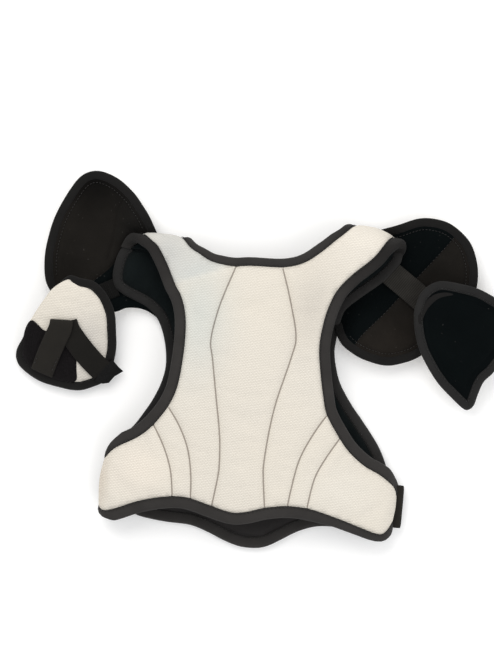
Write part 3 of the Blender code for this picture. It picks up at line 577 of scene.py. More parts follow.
# ------------------------------------------------------------------ materials
class Nodes:
    """Small helper that builds a node tree step by step."""

    def __init__(self, name):
        self.material = bpy.data.materials.new(name)
        self.material.use_nodes = True
        self.tree = self.material.node_tree
        self.shader = self.tree.nodes["Principled BSDF"]

    def add(self, kind, **values):
        node = self.tree.nodes.new(kind)
        for key, value in values.items():
            setattr(node, key, value)
        return node

    def feed(self, socket, value):
        if hasattr(value, "links"):
            self.tree.links.new(value, socket)
        else:
            socket.default_value = value

    def math(self, operation, a, b=0.0, clamp=False):
        node = self.add("ShaderNodeMath", operation=operation, use_clamp=clamp)
        self.feed(node.inputs[0], a)
        self.feed(node.inputs[1], b)
        return node.outputs[0]

    def times(self, a, b, clamp=False):
        return self.math("MULTIPLY", a, b, clamp)

    def plus(self, a, b):
        return self.math("ADD", a, b)

    def minus(self, a, b, clamp=False):
        return self.math("SUBTRACT", a, b, clamp)

    def over(self, a, b):
        return self.math("DIVIDE", a, b)

    def place(self):
        """Where a point of the cloth lies in the frame, in metres: x, y and z."""
        split = self.add("ShaderNodeSeparateXYZ")
        self.tree.links.new(self.add("ShaderNodeTexCoord").outputs["Object"], split.inputs[0])
        return split.outputs

    def mix(self, factor, a, b):
        node = self.add("ShaderNodeMix", data_type="RGBA")
        self.feed(node.inputs["Factor"], factor)
        for socket, value in ((node.inputs[6], a), (node.inputs[7], b)):
            self.feed(socket, (*value, 1.0) if isinstance(value, tuple) and len(value) == 3 else value)
        return node.outputs[2]

    def cloth(self):
        """Weave coordinates in millimetres: (along, across)."""
        attribute = self.add("ShaderNodeAttribute", attribute_name="cloth")
        split = self.add("ShaderNodeSeparateXYZ")
        self.tree.links.new(attribute.outputs["Vector"], split.inputs[0])
        return split.outputs[0], split.outputs[1]

    def tinted(self, colour):
        """The colour, shifted by the painted light and shade stored on the cloth."""
        node = self.add("ShaderNodeVectorMath", operation="MULTIPLY_ADD")
        tint = self.add("ShaderNodeAttribute", attribute_name="tint").outputs["Vector"]
        self.tree.links.new(colour, node.inputs[0])
        self.tree.links.new(tint, node.inputs[1])
        self.tree.links.new(colour, node.inputs[2])
        return node.outputs[0]

    def noise(self, scale, detail=3.0, rough=0.55, vector=None):
        node = self.add("ShaderNodeTexNoise")
        node.inputs["Scale"].default_value = scale
        node.inputs["Detail"].default_value = detail
        node.inputs["Roughness"].default_value = rough
        if vector is None:
            vector = self.add("ShaderNodeTexCoord").outputs["Object"]
        self.tree.links.new(vector, node.inputs["Vector"])
        return node.outputs["Fac"]

    def bump(self, height, strength, distance):
        node = self.add("ShaderNodeBump")
        self.feed(node.inputs["Height"], height)
        node.inputs["Strength"].default_value = strength
        node.inputs["Distance"].default_value = distance
        self.tree.links.new(node.outputs[0], self.shader.inputs["Normal"])

    def finish(self, colour, roughness, sheen=0.0, sheen_tint=(1, 1, 1), shine=0.06):
        self.feed(self.shader.inputs["Base Color"], colour)
        self.feed(self.shader.inputs["Roughness"], roughness)
        self.shader.inputs["Specular IOR Level"].default_value = shine
        self.shader.inputs["Sheen Weight"].default_value = sheen
        self.shader.inputs["Sheen Roughness"].default_value = 0.6
        self.shader.inputs["Sheen Tint"].default_value = (*sheen_tint, 1.0)
        return self.material


def mesh_fabric(name, light, shade, seam_colour=(0.33, 0.29, 0.25)):
    """Cream air-mesh: staggered rice-grain bumps, soft stains of tone, and sewn seam lines."""
    n = Nodes(name)
    along, across = n.cloth()
    row = n.over(across, 1.75)
    row_number = n.math("FLOOR", row)
    odd = n.times(n.math("MODULO", n.math("ABSOLUTE", row_number), 2.0), 0.5)
    column = n.plus(n.over(along, 3.5), odd)
    dx = n.times(n.minus(n.math("FRACT", column), 0.5), 2.0)
    dy = n.times(n.minus(n.math("FRACT", row), 0.5), 2.0)
    wide = n.times(n.times(dx, dx), 0.75)
    radial = n.plus(wide, n.times(n.times(dy, dy), 1.3))
    grain = n.minus(1.0, radial, clamp=True)
    fine = n.noise(900.0, 2.0)
    tone = n.noise(9.0, 2.0)
    colour = n.mix(n.times(grain, 1.0), shade, light)
    warm = n.mix(n.times(tone, 0.55), colour, tuple(c * f for c, f in zip(light, (0.97, 0.93, 0.86))))
    seam = n.add("ShaderNodeAttribute", attribute_name="seam").outputs["Fac"]
    line = n.minus(1.0, n.over(seam, 1.0), clamp=True)
    line = n.times(line, 2.6, clamp=True)
    colour = n.mix(line, warm, seam_colour)
    # painted light and shade laid on the mesh's colour
    colour = n.tinted(colour)
    height = n.plus(n.times(grain, 1.0), n.times(fine, 0.35))
    n.bump(height, 0.55, 0.0006)
    rough = n.plus(0.72, n.times(fine, 0.2))
    return n.finish(colour, rough, 0.05, shine=0.15)


def tape_fabric(name, dark, light, shoulder=0.0):
    """Fold-over tape: fine diagonal weave, mottled, with painted shade round the shoulders by that share.
    """
    n = Nodes(name)
    along, across = n.cloth()
    diagonal = n.math("SINE", n.times(n.plus(along, across), 5.6))
    counter = n.math("SINE", n.times(n.minus(along, across), 5.6))
    weave = n.times(n.plus(n.times(diagonal, counter), 1.0), 0.5)
    patch = n.plus(n.times(n.noise(55.0, 4.0), 0.6), n.times(n.noise(19.0, 3.0), 0.5))
    fuzz = n.noise(1400.0, 2.0)
    factor = n.times(n.plus(n.times(weave, 0.35), patch), 0.8, clamp=True)
    colour = n.mix(factor, dark, light)
    # painted shade: the tape darkens round the shoulders, where it curves over the fold
    if shoulder:
        x, y, _ = n.place()
        high = n.times(n.minus(y, 0.085), 14.0, clamp=True)
        aside = n.times(n.minus(n.math("ABSOLUTE", x), 0.07), 30.0, clamp=True)
        shaded = tuple(c * 0.6 for c in dark)
        colour = n.mix(n.times(n.times(high, aside), shoulder), colour, shaded)
    n.bump(n.plus(n.times(weave, 0.7), n.times(fuzz, 0.6)), 0.4, 0.0004)
    return n.finish(colour, n.plus(0.6, n.times(fuzz, 0.3)), 0.04)


def velvet(name, dark, light, lint=0.0):
    """Brushed knit lining: short fuzzy pile, cloudy where it has been stroked, with lint."""
    n = Nodes(name)
    cloud = n.noise(28.0, 4.0)
    pile = n.noise(1900.0, 3.0, 0.7)
    speck = n.noise(420.0, 1.0)
    factor = n.times(n.plus(n.times(cloud, 0.8), n.times(pile, 0.5)),
                    0.85, clamp=True)
    colour = n.mix(factor, dark, light)
    if lint:
        flake = n.times(n.minus(speck, 0.765), 25.0, clamp=True)
        colour = n.mix(n.times(flake, lint), colour, (0.25, 0.24, 0.22))
    # painted light and shade laid on the lining's colour
    colour = n.tinted(colour)
    n.bump(n.plus(pile, n.times(cloud, 0.8)), 0.5, 0.0008)
    return n.finish(colour, n.plus(0.75, n.times(pile, 0.2)), 0.02, (0.7, 0.8, 0.85), shine=0.02)


def webbing(name, dark, light, pitch=1.1, lengthwise=True):
    """Woven elastic: fine ribs along the strap and short picks across it."""
    n = Nodes(name)
    along, across = n.cloth()
    first, second = (across, along) if lengthwise else (along, across)
    ribs = n.math("ABSOLUTE", n.math("SINE", n.times(first, math.pi / pitch)))
    if not lengthwise:
        ribs = n.math("POWER", ribs, 4.0)
    picks = n.math("ABSOLUTE", n.math("SINE", n.times(second, math.pi / 0.8)))
    weave = n.times(n.plus(ribs, n.times(picks, 0.6)), 0.62)
    wear = n.noise(60.0, 3.0)
    factor = n.times(n.plus(n.times(weave, 0.6), n.times(wear, 0.5)), 0.9,
                    clamp=True)
    colour = n.mix(factor, dark, light)
    n.bump(weave, 0.5, 0.0005)
    return n.finish(colour, 0.68, 0.02)


def loop_pile(name, dark, light):
    """Hook-and-loop loop patch: dense curly pile."""
    n = Nodes(name)
    cells = n.add("ShaderNodeTexVoronoi")
    cells.inputs["Scale"].default_value = 850.0
    n.tree.links.new(n.add("ShaderNodeTexCoord").outputs["Object"], cells.inputs["Vector"])
    cloud = n.noise(90.0, 4.0)
    factor = n.times(n.plus(cells.outputs["Distance"], cloud), 0.75, clamp=True)
    colour = n.mix(factor, dark, light)
    n.bump(n.plus(cells.outputs["Distance"], cloud), 0.8, 0.0009)
    return n.finish(colour, 0.9, 0.02, shine=0.02)


def thread(name, colour):
    """Sewing thread with a tight twist."""
    n = Nodes(name)
    twist = n.noise(2500.0, 2.0)
    shaded = n.mix(twist, tuple(c * 0.6 for c in colour), colour)
    n.bump(twist, 0.4, 0.0002)
    return n.finish(shaded, 0.55, 0.1)


def chest_velvet(name):
    """Chest lining: teal-black inside the armholes, made darker there by painted shade, greyer where the
    hem shows.
    """
    n = Nodes(name)
    _, y, _ = n.place()
    low = n.times(n.minus(-0.085, y), 40.0, clamp=True)
    cloud = n.noise(30.0, 4.0)
    pile = n.noise(1900.0, 3.0, 0.7)
    factor = n.times(n.plus(cloud, n.times(pile, 0.6)), 0.7, clamp=True)
    # the armhole colour is the lining's teal-black with painted shade in it
    teal = n.mix(factor, (0.0012, 0.0022, 0.0024), (0.008, 0.011, 0.0115))
    grey = n.mix(factor, (0.012, 0.011, 0.011), (0.032, 0.030, 0.0295))
    n.bump(n.plus(pile, cloud), 0.5, 0.0008)
    return n.finish(n.mix(low, teal, grey), 0.9, 0.02, shine=0.03)


def make_materials():
    """Every fabric, elastic, pile and thread, by its short name."""
    return {
        "white": mesh_fabric("white_mesh", (0.785, 0.747, 0.678), (0.59, 0.555, 0.498)),
        # the back's charcoal tape carries painted shade round the shoulders
        "tape": tape_fabric("tape_charcoal", (0.015, 0.014, 0.0135), (0.044, 0.041, 0.039), 0.75),
        "tape_dark": tape_fabric("tape_black", (0.006, 0.006, 0.0062), (0.023, 0.0225, 0.022)),
        "tape_mid": tape_fabric("tape_grey_black", (0.010, 0.0098, 0.0096), (0.034, 0.0325, 0.0315)),
        "rim": tape_fabric("tape_rim", (0.0034, 0.0033, 0.0032), (0.0128, 0.0122, 0.0117)),
        "lining": velvet("lining_black", (0.0012, 0.0019, 0.0021), (0.006, 0.0085, 0.009)),
        "chest_lining": chest_velvet("lining_chest"),
        "teal": velvet("lining_teal_black", (0.0008, 0.0014, 0.0016), (0.0025, 0.0039, 0.0042), 0.14),
        "brown": velvet("lining_brown_black", (0.0040, 0.0036, 0.0031), (0.0165, 0.0145, 0.0125), 0.16),
        "elastic": webbing("elastic_olive", (0.0085, 0.0080, 0.0068), (0.022, 0.0195, 0.0165)),
        # a darker copy of the olive elastic: painted shade on the free leg that comes out from under the
        # sewn leg
        "elastic_dark": webbing("elastic_black", (0.0048, 0.0046, 0.0040), (0.0135, 0.0122, 0.0105)),
        # a darker copy of the ribbed elastic: painted shade on the left link, which lies between the cap
        # lining and the arm guard
        "link_dark": webbing("elastic_ribbed_black", (0.0006, 0.0006, 0.0006), (0.010, 0.0098, 0.0092),
                             2.15, False),
        "link": webbing("elastic_ribbed", (0.0006, 0.0006, 0.0006), (0.046, 0.043, 0.038), 2.15, False),
        "loop": loop_pile("loop_pile_black", (0.0018, 0.0016, 0.0017), (0.0095, 0.0082, 0.0088)),
        "hook": loop_pile("hook_tab_grey", (0.004, 0.004, 0.004), (0.012, 0.012, 0.012)),
        "thread": thread("thread_charcoal", (0.028, 0.026, 0.025)),
        "thread_dark": thread("thread_black", (0.006, 0.006, 0.006)),
    }


M = make_materials()

# ------------------------------------------------------------------ back panel
BACK_LEFT_ARMHOLE = [over_fold(-140, 56), over_fold(-134.5, 44), over_fold(-128, 31), unroll((-120, 154)),
                     unroll((-110.5, 146)), (-98.5, 127), (-88.5, 107), (-80, 93), (-74.6, 76), (-72.4, 56),
                     (-72.7, 29),
                     (-76, -3), (-84, -25), (-98, -46), (-113, -60.5), (-137, -75), (-148, -88)]
BACK_LEFT_SIDE = [(-148, -88), (-151, -104), (-151.5, -118), (-150, -139)]
BACK_HEM = [(-150, -139), (-144, -143), (-132, -140), (-109, -130), (-85, -123), (-63, -120), (-47, -122),
            (-28, -127),
            (-6, -132), (10, -130), (29, -124), (53, -120), (77, -121), (106, -128), (129, -135),
            (153, -142),
            (162, -139), (169, -127)]
BACK_RIGHT_SIDE = [(169, -127), (171, -113), (171, -101)]
BACK_RIGHT_ARMHOLE = [(171, -101), (167.5, -92), (160.5, -85.5), (149, -78), (132, -70), (115, -57),
                      (103, -43), (87, -19), (81, 1), (75, 30),
                      (72, 54), (74, 78), (78.5, 98), (86, 116), (100.5, 134), unroll((125, 158.5)),
                      over_fold(143.5, 34), over_fold(146, 48), over_fold(143, 60)]
BACK_NECK = [over_fold(108, 62), over_fold(107, 48), over_fold(103.6, 34), unroll((91, 180.5)),
             unroll((78.5, 168)),
             unroll((64, 154)), (47, 141.5), (25, 135), (-9, 133.5), (-25, 131.5), (-38, 132), (-53, 135),
             unroll((-65, 141.5)), unroll((-78, 150)), over_fold(-87, 34), over_fold(-86, 48),
             over_fold(-85, 62)]
SEAMS = {
    "centre_left": [(-24, 136), (-25, 131), (-38.5, 88), (-44.6, 51), (-41, 30), (-32, -18), (-26, -51),
                    (-23.6, -80),
                    (-24, -96), (-28, -129)],
    "centre_right": [(24, 138), (25, 135), (36, 102), (46, 63), (43, 39), (32, -6), (27, -37), (24, -75),
                     (25, -94),
                     (29.5, -127)],
    "inner_left": [(-88, -19), (-84, -25), (-70.5, -44), (-59, -68), (-53, -96), (-51, -124)],
    "inner_right": [(91, -12), (87, -19), (75, -39), (62, -68), (56, -99), (53, -124)],
    "outer_left": [(-102, -41), (-98, -46), (-85, -68), (-75, -94), (-70.5, -124)],
    "outer_right": [(107, -38), (103, -43), (90, -65), (79.5, -89), (74, -124)],
}


def seam_lines():
    """Each seam as its own line with a line close by on either side."""
    lines = []
    for points in SEAMS.values():
        line = smooth(points, spacing=2.5)
        lines += [line, sideways(line, 1.3), sideways(line, -1.3)]
    return lines


def pillow(distance, reach, height):
    """Padding that rises steeply from a sewn edge and then levels off."""
    t = np.clip(distance / reach, 0, 1)
    return height * np.sqrt(np.maximum(0, 1 - (1 - t) ** 2))


def back_outline():
    """The back cover's outline, unrolled, as one closed loop."""
    edges = [BACK_LEFT_ARMHOLE, BACK_LEFT_SIDE, BACK_HEM, BACK_RIGHT_SIDE, BACK_RIGHT_ARMHOLE, BACK_NECK]
    parts = [smooth(edge)[:-1] for edge in edges[:4]]
    parts += [smooth(edges[4]), smooth(edges[5])]
    return np.vstack(parts)


def back_top(plan, edge, seam):
    """Stuffing between the sewn lines, with shallow grooves and soft lumps."""
    soft = pillow(edge, 16, 2.6) + pillow(seam, 11, 1.9) - 3.0
    groove = 0.5 * np.exp(-(seam / 0.9) ** 2)
    lumps = 0.45 * np.sin(plan[:, 0] / 17.0 + 1.3) * np.sin(plan[:, 1] / 23.0)
    return soft - groove + lumps * np.clip(edge / 20, 0, 1)


def back_under(plan, edge, seam):
    """The underside of the back cover, drawn up towards its edge."""
    return np.full(len(plan), -10.2) + np.minimum(3.5, 3.5 * np.clip(1 - edge / 6, 0, 1))


FOLD_TOP = tuple(back_place(np.array([over_fold(-110, 0)]), 0)[0] * MM)
FOLD_FRONT = tuple(back_place(np.array([over_fold(-110, QUARTER)]), 0)[0] * MM)


def follow_fold(piece):
    """Bakes the piece's placing into its mesh; it is not attached to a body."""
    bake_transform(piece)


def darken_turned_end(cover):
    """The last strip of the shoulder, turned in under the fold, is lining."""
    count = len(cover.data.vertices)
    plan = np.empty(count * 3)
    cover.data.attributes["cloth"].data.foreach_get("vector", plan)
    plan = plan.reshape(-1, 3)
    beyond = past_fold(plan[:, 0], plan[:, 1]) - fold_shift(plan[:, 0])
    for face in cover.data.polygons:
        if min(beyond[i] for i in face.vertices) > TURNED_END:
            face.material_index = 1


def build_back():
    """Cover, lining, tapes and stitches of the back panel, folded over the shoulders."""
    outline = back_outline()
    cover = padded_sheet("back_cover_soft", outline, back_place, back_top, back_under, M["white"],
                         seam_lines(), 4.5,
                         beneath=M["lining"])
    darken_turned_end(cover)
    stuff(cover, 0.012, 2.5)
    fit(cover, "mesh_fabric", follow_fold, "back_cover", "spine_plate", "shoulder_yoke_left",
        "shoulder_yoke_right", *["back_foam_" + part for part in ("spine", "left_side", "right_side",
                                                                  "left_gusset", "right_gusset",
                                                                  "left_wing", "right_wing")])
    flat = lambda level: (lambda plan, edge, seam: np.full(len(plan), level))
    lining = padded_sheet("back_lining_soft", outline, back_place, flat(BACK_LINING_TOP),
                          flat(BACK_LINING_UNDER), M["lining"], (), 8.0)
    fit(lining, "lining", follow_fold, "back_lining", "shoulder_webbing_left", "shoulder_webbing_right")
    bands = [("neck", BACK_NECK, NECK_TAPE, "binding_back_neck", (0, 0)),
             ("left_armhole", BACK_LEFT_ARMHOLE, TAPE, "binding_back_left_armhole", (0, 30)),
             ("right_armhole", BACK_RIGHT_ARMHOLE, TAPE, "binding_back_right_armhole", (26, 0)),
             ("hem", BACK_HEM, HEM_TAPE, "binding_back_hem", (15, 12))]
    for label, points, width, node, tapers in bands:
        inner = smooth(points, spacing=2.5)
        if label == "hem":
            width = np.interp(inner[:, 0], [80, 106, 144, 170], [HEM_TAPE, 10.5, 9.2, 7.5])
        outer = sideways(inner, width)
        band = tape("back_tape_" + label, sideways(inner, -TAPE_OVERLAP), outer, back_place, -5.0, 5.4,
                    M["tape"], tapers=tapers)
        fit(band, "binding", follow_fold, node)
        row = stitches("back_stitches_" + label, sideways(inner, 1.3), back_place, 0.0, M["thread_dark"])
        fit(row, "binding", follow_fold)


# ------------------------------------------------------------------ chest panel
CHEST_LEFT_ARMHOLE = [(-138, 151), (-145, 147.5), (-150.5, 142), (-154, 135), (-157, 124), (-158, 110),
                      (-155, 99), (-146, 91.5),
                      (-131, 85), (-118, 79), (-106, 68.5), (-98.5, 54), (-93.5, 36), (-91.8, 17),
                      (-95, -1),
                      (-101.5, -18), (-109, -32),
                      (-122, -52), (-135, -63)]
CHEST_LEFT_SIDE = [(-135, -63), (-127, -84), (-122, -110), (-119, -143)]
CHEST_HEM = [(-119, -143), (-106, -148), (-90, -150.5), (-73, -152), (-49, -153), (-28, -159.5),
             (-15, -165), (0, -170),
             (13, -172), (28, -171), (39, -167), (50, -160.5), (70, -148.5), (92, -141.5), (122, -141)]
CHEST_RIGHT_SIDE = [(122, -141), (130, -112), (140, -92), (160, -76)]
CHEST_RIGHT_ARMHOLE = [(160, -76), (153.5, -60), (144, -44), (126, -21), (116, -9), (106, 5), (98.5, 18),
                       (93.5, 33),
                       (90.5, 48), (91, 62), (94, 82), (99, 96), (113, 110), (135, 129), (147, 143),
                       (153.5, 153),
                       (155, 164)]
CHEST_NECK = [(84, 160), (60, 122), (30, 104), (0, 98), (-30, 102), (-54, 118), (-68, 142)]


def chest_level(x, y):
    """The chest lies flat; its armhole edge by each shoulder stands up a little."""
    lift_left = 5.0 * np.exp(-(((x + 150) / 22.0) ** 2 + ((y - 118) / 40.0) ** 2))
    lift_right = 4.0 * np.exp(-(((x - 145) / 26.0) ** 2 + ((y - 140) / 34.0) ** 2))
    return CHEST_TOP + lift_left + lift_right


def build_chest():
    """Lining, cover, tapes and loop patches of the panel that lies underneath."""
    place = on_height(chest_level)
    edges = [CHEST_LEFT_ARMHOLE, CHEST_LEFT_SIDE, CHEST_HEM, CHEST_RIGHT_SIDE, CHEST_RIGHT_ARMHOLE,
             CHEST_NECK]
    widths = [TAPE - 1, 1.0, HEM_TAPE, 1.0, TAPE - 1, TAPE - 1]
    curves = [smooth(edge) for edge in edges]
    insets = [sideways(curve, -width) for curve, width in zip(curves, widths)]
    trimmed = [inset[3:-3] if width > 2 else inset[4:-4] for inset, width in zip(insets, widths)]
    shoulders = [np.array([(150, 166), (96, 170)], float), np.array([(-84, 148), (-134, 145)], float)]
    outline = np.vstack(trimmed[:5] + [shoulders[0], trimmed[5], shoulders[1]])
    soft = lambda plan, edge, seam: pillow(edge, 18, 1.8) - 1.8
    low = lambda plan, edge, seam: np.full(len(plan), CHEST_LINING_UNDER)
    lining = padded_sheet("chest_lining_soft", outline, place, soft, low, M["chest_lining"], (), 7.0)
    stuff(lining, 0.02, 2.0)
    fit(lining, "lining", "chest", "chest_lining", "chest_foam_centre", "chest_foam_left",
        "chest_foam_right", "sternum_plate")
    ground = on_height(lambda x, y: 0.0 * x)
    under = lambda plan, edge, seam: 0.2 + 1.2 * np.clip(1 - edge / 5, 0, 1)
    over = lambda plan, edge, seam: np.full(len(plan), CHEST_COVER_TOP)
    cover = padded_sheet("chest_cover_soft", outline, ground, over, under, M["white"], (), 9.0)
    fit(cover, "mesh_fabric", "chest", "chest_cover")
    nodes = {0: "binding_chest_left_armhole", 2: "binding_chest_hem", 4: "binding_chest_right_armhole",
             5: "binding_chest_neck"}
    labels = {0: "left_armhole", 2: "hem", 4: "right_armhole", 5: "neck"}
    for k, node in nodes.items():
        outer = smooth(edges[k], spacing=2.5)
        inner = sideways(outer, -widths[k] - TAPE_OVERLAP)
        look = {"hem": M["tape"], "right_armhole": M["tape_mid"]}.get(labels[k], M["tape_dark"])
        band = tape("chest_tape_" + labels[k], inner, outer, place, -5.0, 5.2, look)
        fit(band, "binding", "chest", node)
        row = stitches("chest_stitches_" + labels[k], sideways(outer, -widths[k] + 1.5), place, -0.2,
                       M["thread_dark"])
        fit(row, "binding", "chest")
    for side in ("left", "right"):
        low_corner, high_corner = [np.array(corner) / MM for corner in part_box("side_loop_patch_" + side)]
        square = np.array([(low_corner[0], low_corner[1]), (high_corner[0], low_corner[1]),
                           (high_corner[0], high_corner[1]), (low_corner[0], high_corner[1])])
        patch = padded_sheet("side_loop_patch_pile_" + side, square, ground, lambda p, e, s: 0.1 + 0 * e,
                             lambda p, e, s: -0.1 + 0.1 * np.clip(1 - e / 2, 0, 1), M["loop"], (), 6.0)
        fit(patch, "loop", "chest", "side_loop_patch_" + side)


# ------------------------------------------------------------------ shoulder caps
CAPS = {
    "left": {
        "rim": [(-109, 152), (-114, 161), (-123, 177), (-131, 188), (-143, 202), (-162, 216), (-183, 222),
                (-200, 216),
                (-213, 198), (-226, 168.5), (-232, 139), (-232.6, 117), (-229, 97), (-220, 83)],
        "lower": [(-205, 76), (-182, 73), (-164, 69.5), (-150, 71.5), (-139.6, 76.5), (-127, 77.3),
                  (-118, 75.5), (-110, 71.5), (-103, 67)],
        "root": [(-106, 76), (-118, 83), (-131, 89), (-145, 94), (-152.5, 101), (-154.5, 110),
                 (-153.5, 123), (-150, 134),
                 (-144, 144), (-134, 149), (-120, 149)],
        "centre": (-188, 148), "reach": (46.0, 76.0), "high": 20.5, "dish": 9.5,
        "divide": [(-186, 96), (-173, 107), (-163, 117), (-156, 125), (-148, 131)],
        "seams": [[(-147, 205), (-157, 186), (-160, 168), (-161, 150), (-165, 128)]],
    },
    "right": {
        "rim": [(86.5, 80), (90, 69), (98, 57), (113, 47.5), (127, 42.5), (146, 39.5), (164, 43.5),
                (183, 53), (207, 76), (226, 102),
                (236, 126), (237.5, 146), (233.5, 165), (224, 183), (205, 198), (187, 203), (168, 202),
                (146, 193),
                (128, 186.5), (116, 182)],
        "lower": [],
        "root": [(118, 178), (131, 177), (143, 172), (151, 163), (150, 153), (144, 144), (132, 131),
                 (110, 112),
                 (95, 98), (90, 84)],
        "centre": (172, 118), "reach": (66.0, 84.0), "high": 20.0, "dish": 9.5,
        "divide": [(110, 40), (113, 63), (142, 98), (172, 137), (206, 182), (214, 200)],
        "seams": [],
    },
}


def cap_level(side):
    """A dished surface that sinks to the sewn edge under the shoulder."""
    spec = CAPS[side]
    cx, cy = spec["centre"]
    rx, ry = spec["reach"]
    root = smooth(spec["root"], spacing=4.0)

    def height_of(x, y):
        points = np.stack([np.asarray(x, float).ravel(), np.asarray(y, float).ravel()], 1)
        away = np.clip(distance_to(points, root) / 30.0, 0, 1).reshape(np.shape(x))
        away = away * away * (3 - 2 * away)
        radial = ((x - cx) / rx) ** 2 + ((y - cy) / ry) ** 2
        dished = spec["high"] - spec["dish"] * np.clip(1 - radial, -0.25, 1)
        return ROOT_HEIGHT + (dished - ROOT_HEIGHT) * away
    return height_of


def follow_cap(piece, side):
    """Works out which way points outward from the cap's hinge, then only bakes the piece's placing into its
    mesh.
    """
    joint = JOINTS["cap_flap_" + side]
    hinge = np.array(joint["pos_m"]) / MM
    axis = np.array(joint["axis"])
    outward = np.array([axis[1], -axis[0], 0.0])
    middle = np.array([*CAPS[side]["centre"], hinge[2]])
    if outward @ (middle - hinge) < 0:
        outward = -outward
    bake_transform(piece)


def build_cap(side):
    """A shoulder cap, spread open: two-fabric lining, outer shell, rim tape and stitches."""
    spec = CAPS[side]
    place = on_height(cap_level(side))
    bend = lambda piece: follow_cap(piece, side)
    rim = smooth(spec["rim"], spacing=2.8)
    root = smooth(spec["root"], spacing=3.0)
    inset = sideways(rim, -CAP_RIM + 1.5)
    parts = [inset[2:-2], smooth(spec["lower"], spacing=3.0)] if spec["lower"] else [inset[2:-2]]
    outline = np.vstack(parts + [root])
    line = sideways(rim, -CAP_RIM - 3.2)[7:-7]
    lines = [line, sideways(line, 1.2), sideways(line, -1.2)]
    for points in spec["seams"]:
        seam = smooth(points, spacing=2.5)
        lines += [seam, sideways(seam, 1.2), sideways(seam, -1.2)]
    divide = smooth(spec["divide"], spacing=2.5)
    lines += [divide, sideways(divide, 1.2), sideways(divide, -1.2)]

    def away(plan):
        return np.clip(distance_to(plan, root) / 30.0, 0, 1)

    def soft(plan, edge, seam):
        return pillow(edge, 16, 1.6) - 1.4 - 0.9 * np.exp(-(seam / 1.2) ** 2) + pillow(seam, 9, 0.9) - 0.9

    def low(plan, edge, seam):
        return -3.4 - 3.4 * away(plan)

    def shell_bottom(plan, edge, seam):
        return -4.8 - 3.6 * away(plan) - pillow(edge, 20, 1.2) * away(plan)

    lining = padded_sheet("cap_lining_soft_" + side, outline, place, soft, low, M["brown"], lines, 4.2,
                          divide=divide, second=M["teal"])
    if side == "right":
        swap_fabrics(lining)
    stuff(lining, 0.015, 2.0)
    fit(lining, "brushed_lining", bend, "cap_lining_" + side, "cap_foam_" + side)
    shell = padded_sheet("cap_shell_outer_" + side, outline, place, lambda p, e, s: low(p, e, s) - 0.3,
                         shell_bottom,
                         M["white"], (), 6.0)
    fit(shell, "mesh_fabric", bend, "cap_shell_" + side)
    band = tape("cap_tape_" + side, sideways(rim, -CAP_RIM), rim, place, -3.2, 4.4, M["rim"])
    fit(band, "binding", bend, "binding_cap_" + side)
    row = stitches("cap_stitches_" + side, line, place, -0.9, M["thread"], pitch=3.6, length=2.0, width=0.6)
    fit(row, "binding", bend)
    clear = divide[(distance_to(divide, root) > 14) & inside(divide, outline)]
    row = stitches("cap_seam_stitches_" + side, clear, place, -0.6, M["thread"], pitch=4.4, length=2.0,
                   width=0.5)
    fit(row, "brushed_lining", bend)


def swap_fabrics(piece):
    """Exchange which side of the dividing seam each fabric lies on."""
    index = np.zeros(len(piece.data.polygons), dtype=int)
    piece.data.polygons.foreach_get("material_index", index)
    piece.data.polygons.foreach_set("material_index", 1 - index)


# ------------------------------------------------------------------ arm guards
GUARD_LEFT = [(-203, 106), (-190, 104), (-174, 101), (-160, 88), (-151, 70), (-148, 50), (-146.5, 31),
              (-149, 12),
              (-153, -3), (-173, -14.5), (-187, -18), (-206, -16), (-228, -11), (-247, 0), (-254, 9),
              (-255, 20),
              (-250, 33), (-240, 56), (-228, 77), (-217, 93)]
GUARD_RIGHT = [(170.5, 98), (172, 110), (176, 121), (185, 131), (198, 136), (220, 134.5), (238.5, 131),
               (257, 123.5),
               (272, 115), (283, 101), (285, 84), (276, 64), (263, 43), (253, 31.5), (248.5, 18),
               (245.5, 5), (239.5, -0.6),
               (233, 1.4), (221, 10.6), (201.5, 28), (183, 54), (174, 76)]


def guard_left_level(x, y):
    """An arch over the arm that leans down towards its lower end."""
    across = (x + 200.0) / 55.0
    below = 100.0 - y
    return 34.5 + 14.0 * (1.0 - across * across) - 0.12 * below - 0.0015 * below * below


def guard_right_level(x, y):
    """A bowl, inner side up, that droops past the cap it rests on."""
    across = ((x - 228.0) ** 2 + (y - 84.0) ** 2) / 3600.0
    droop = 0.0062 * np.maximum(0, x - 225.0) ** 2 + 0.006 * np.maximum(0, 60.0 - y) ** 2
    return 32.5 + 12.0 * (1.0 - np.exp(-across)) - droop


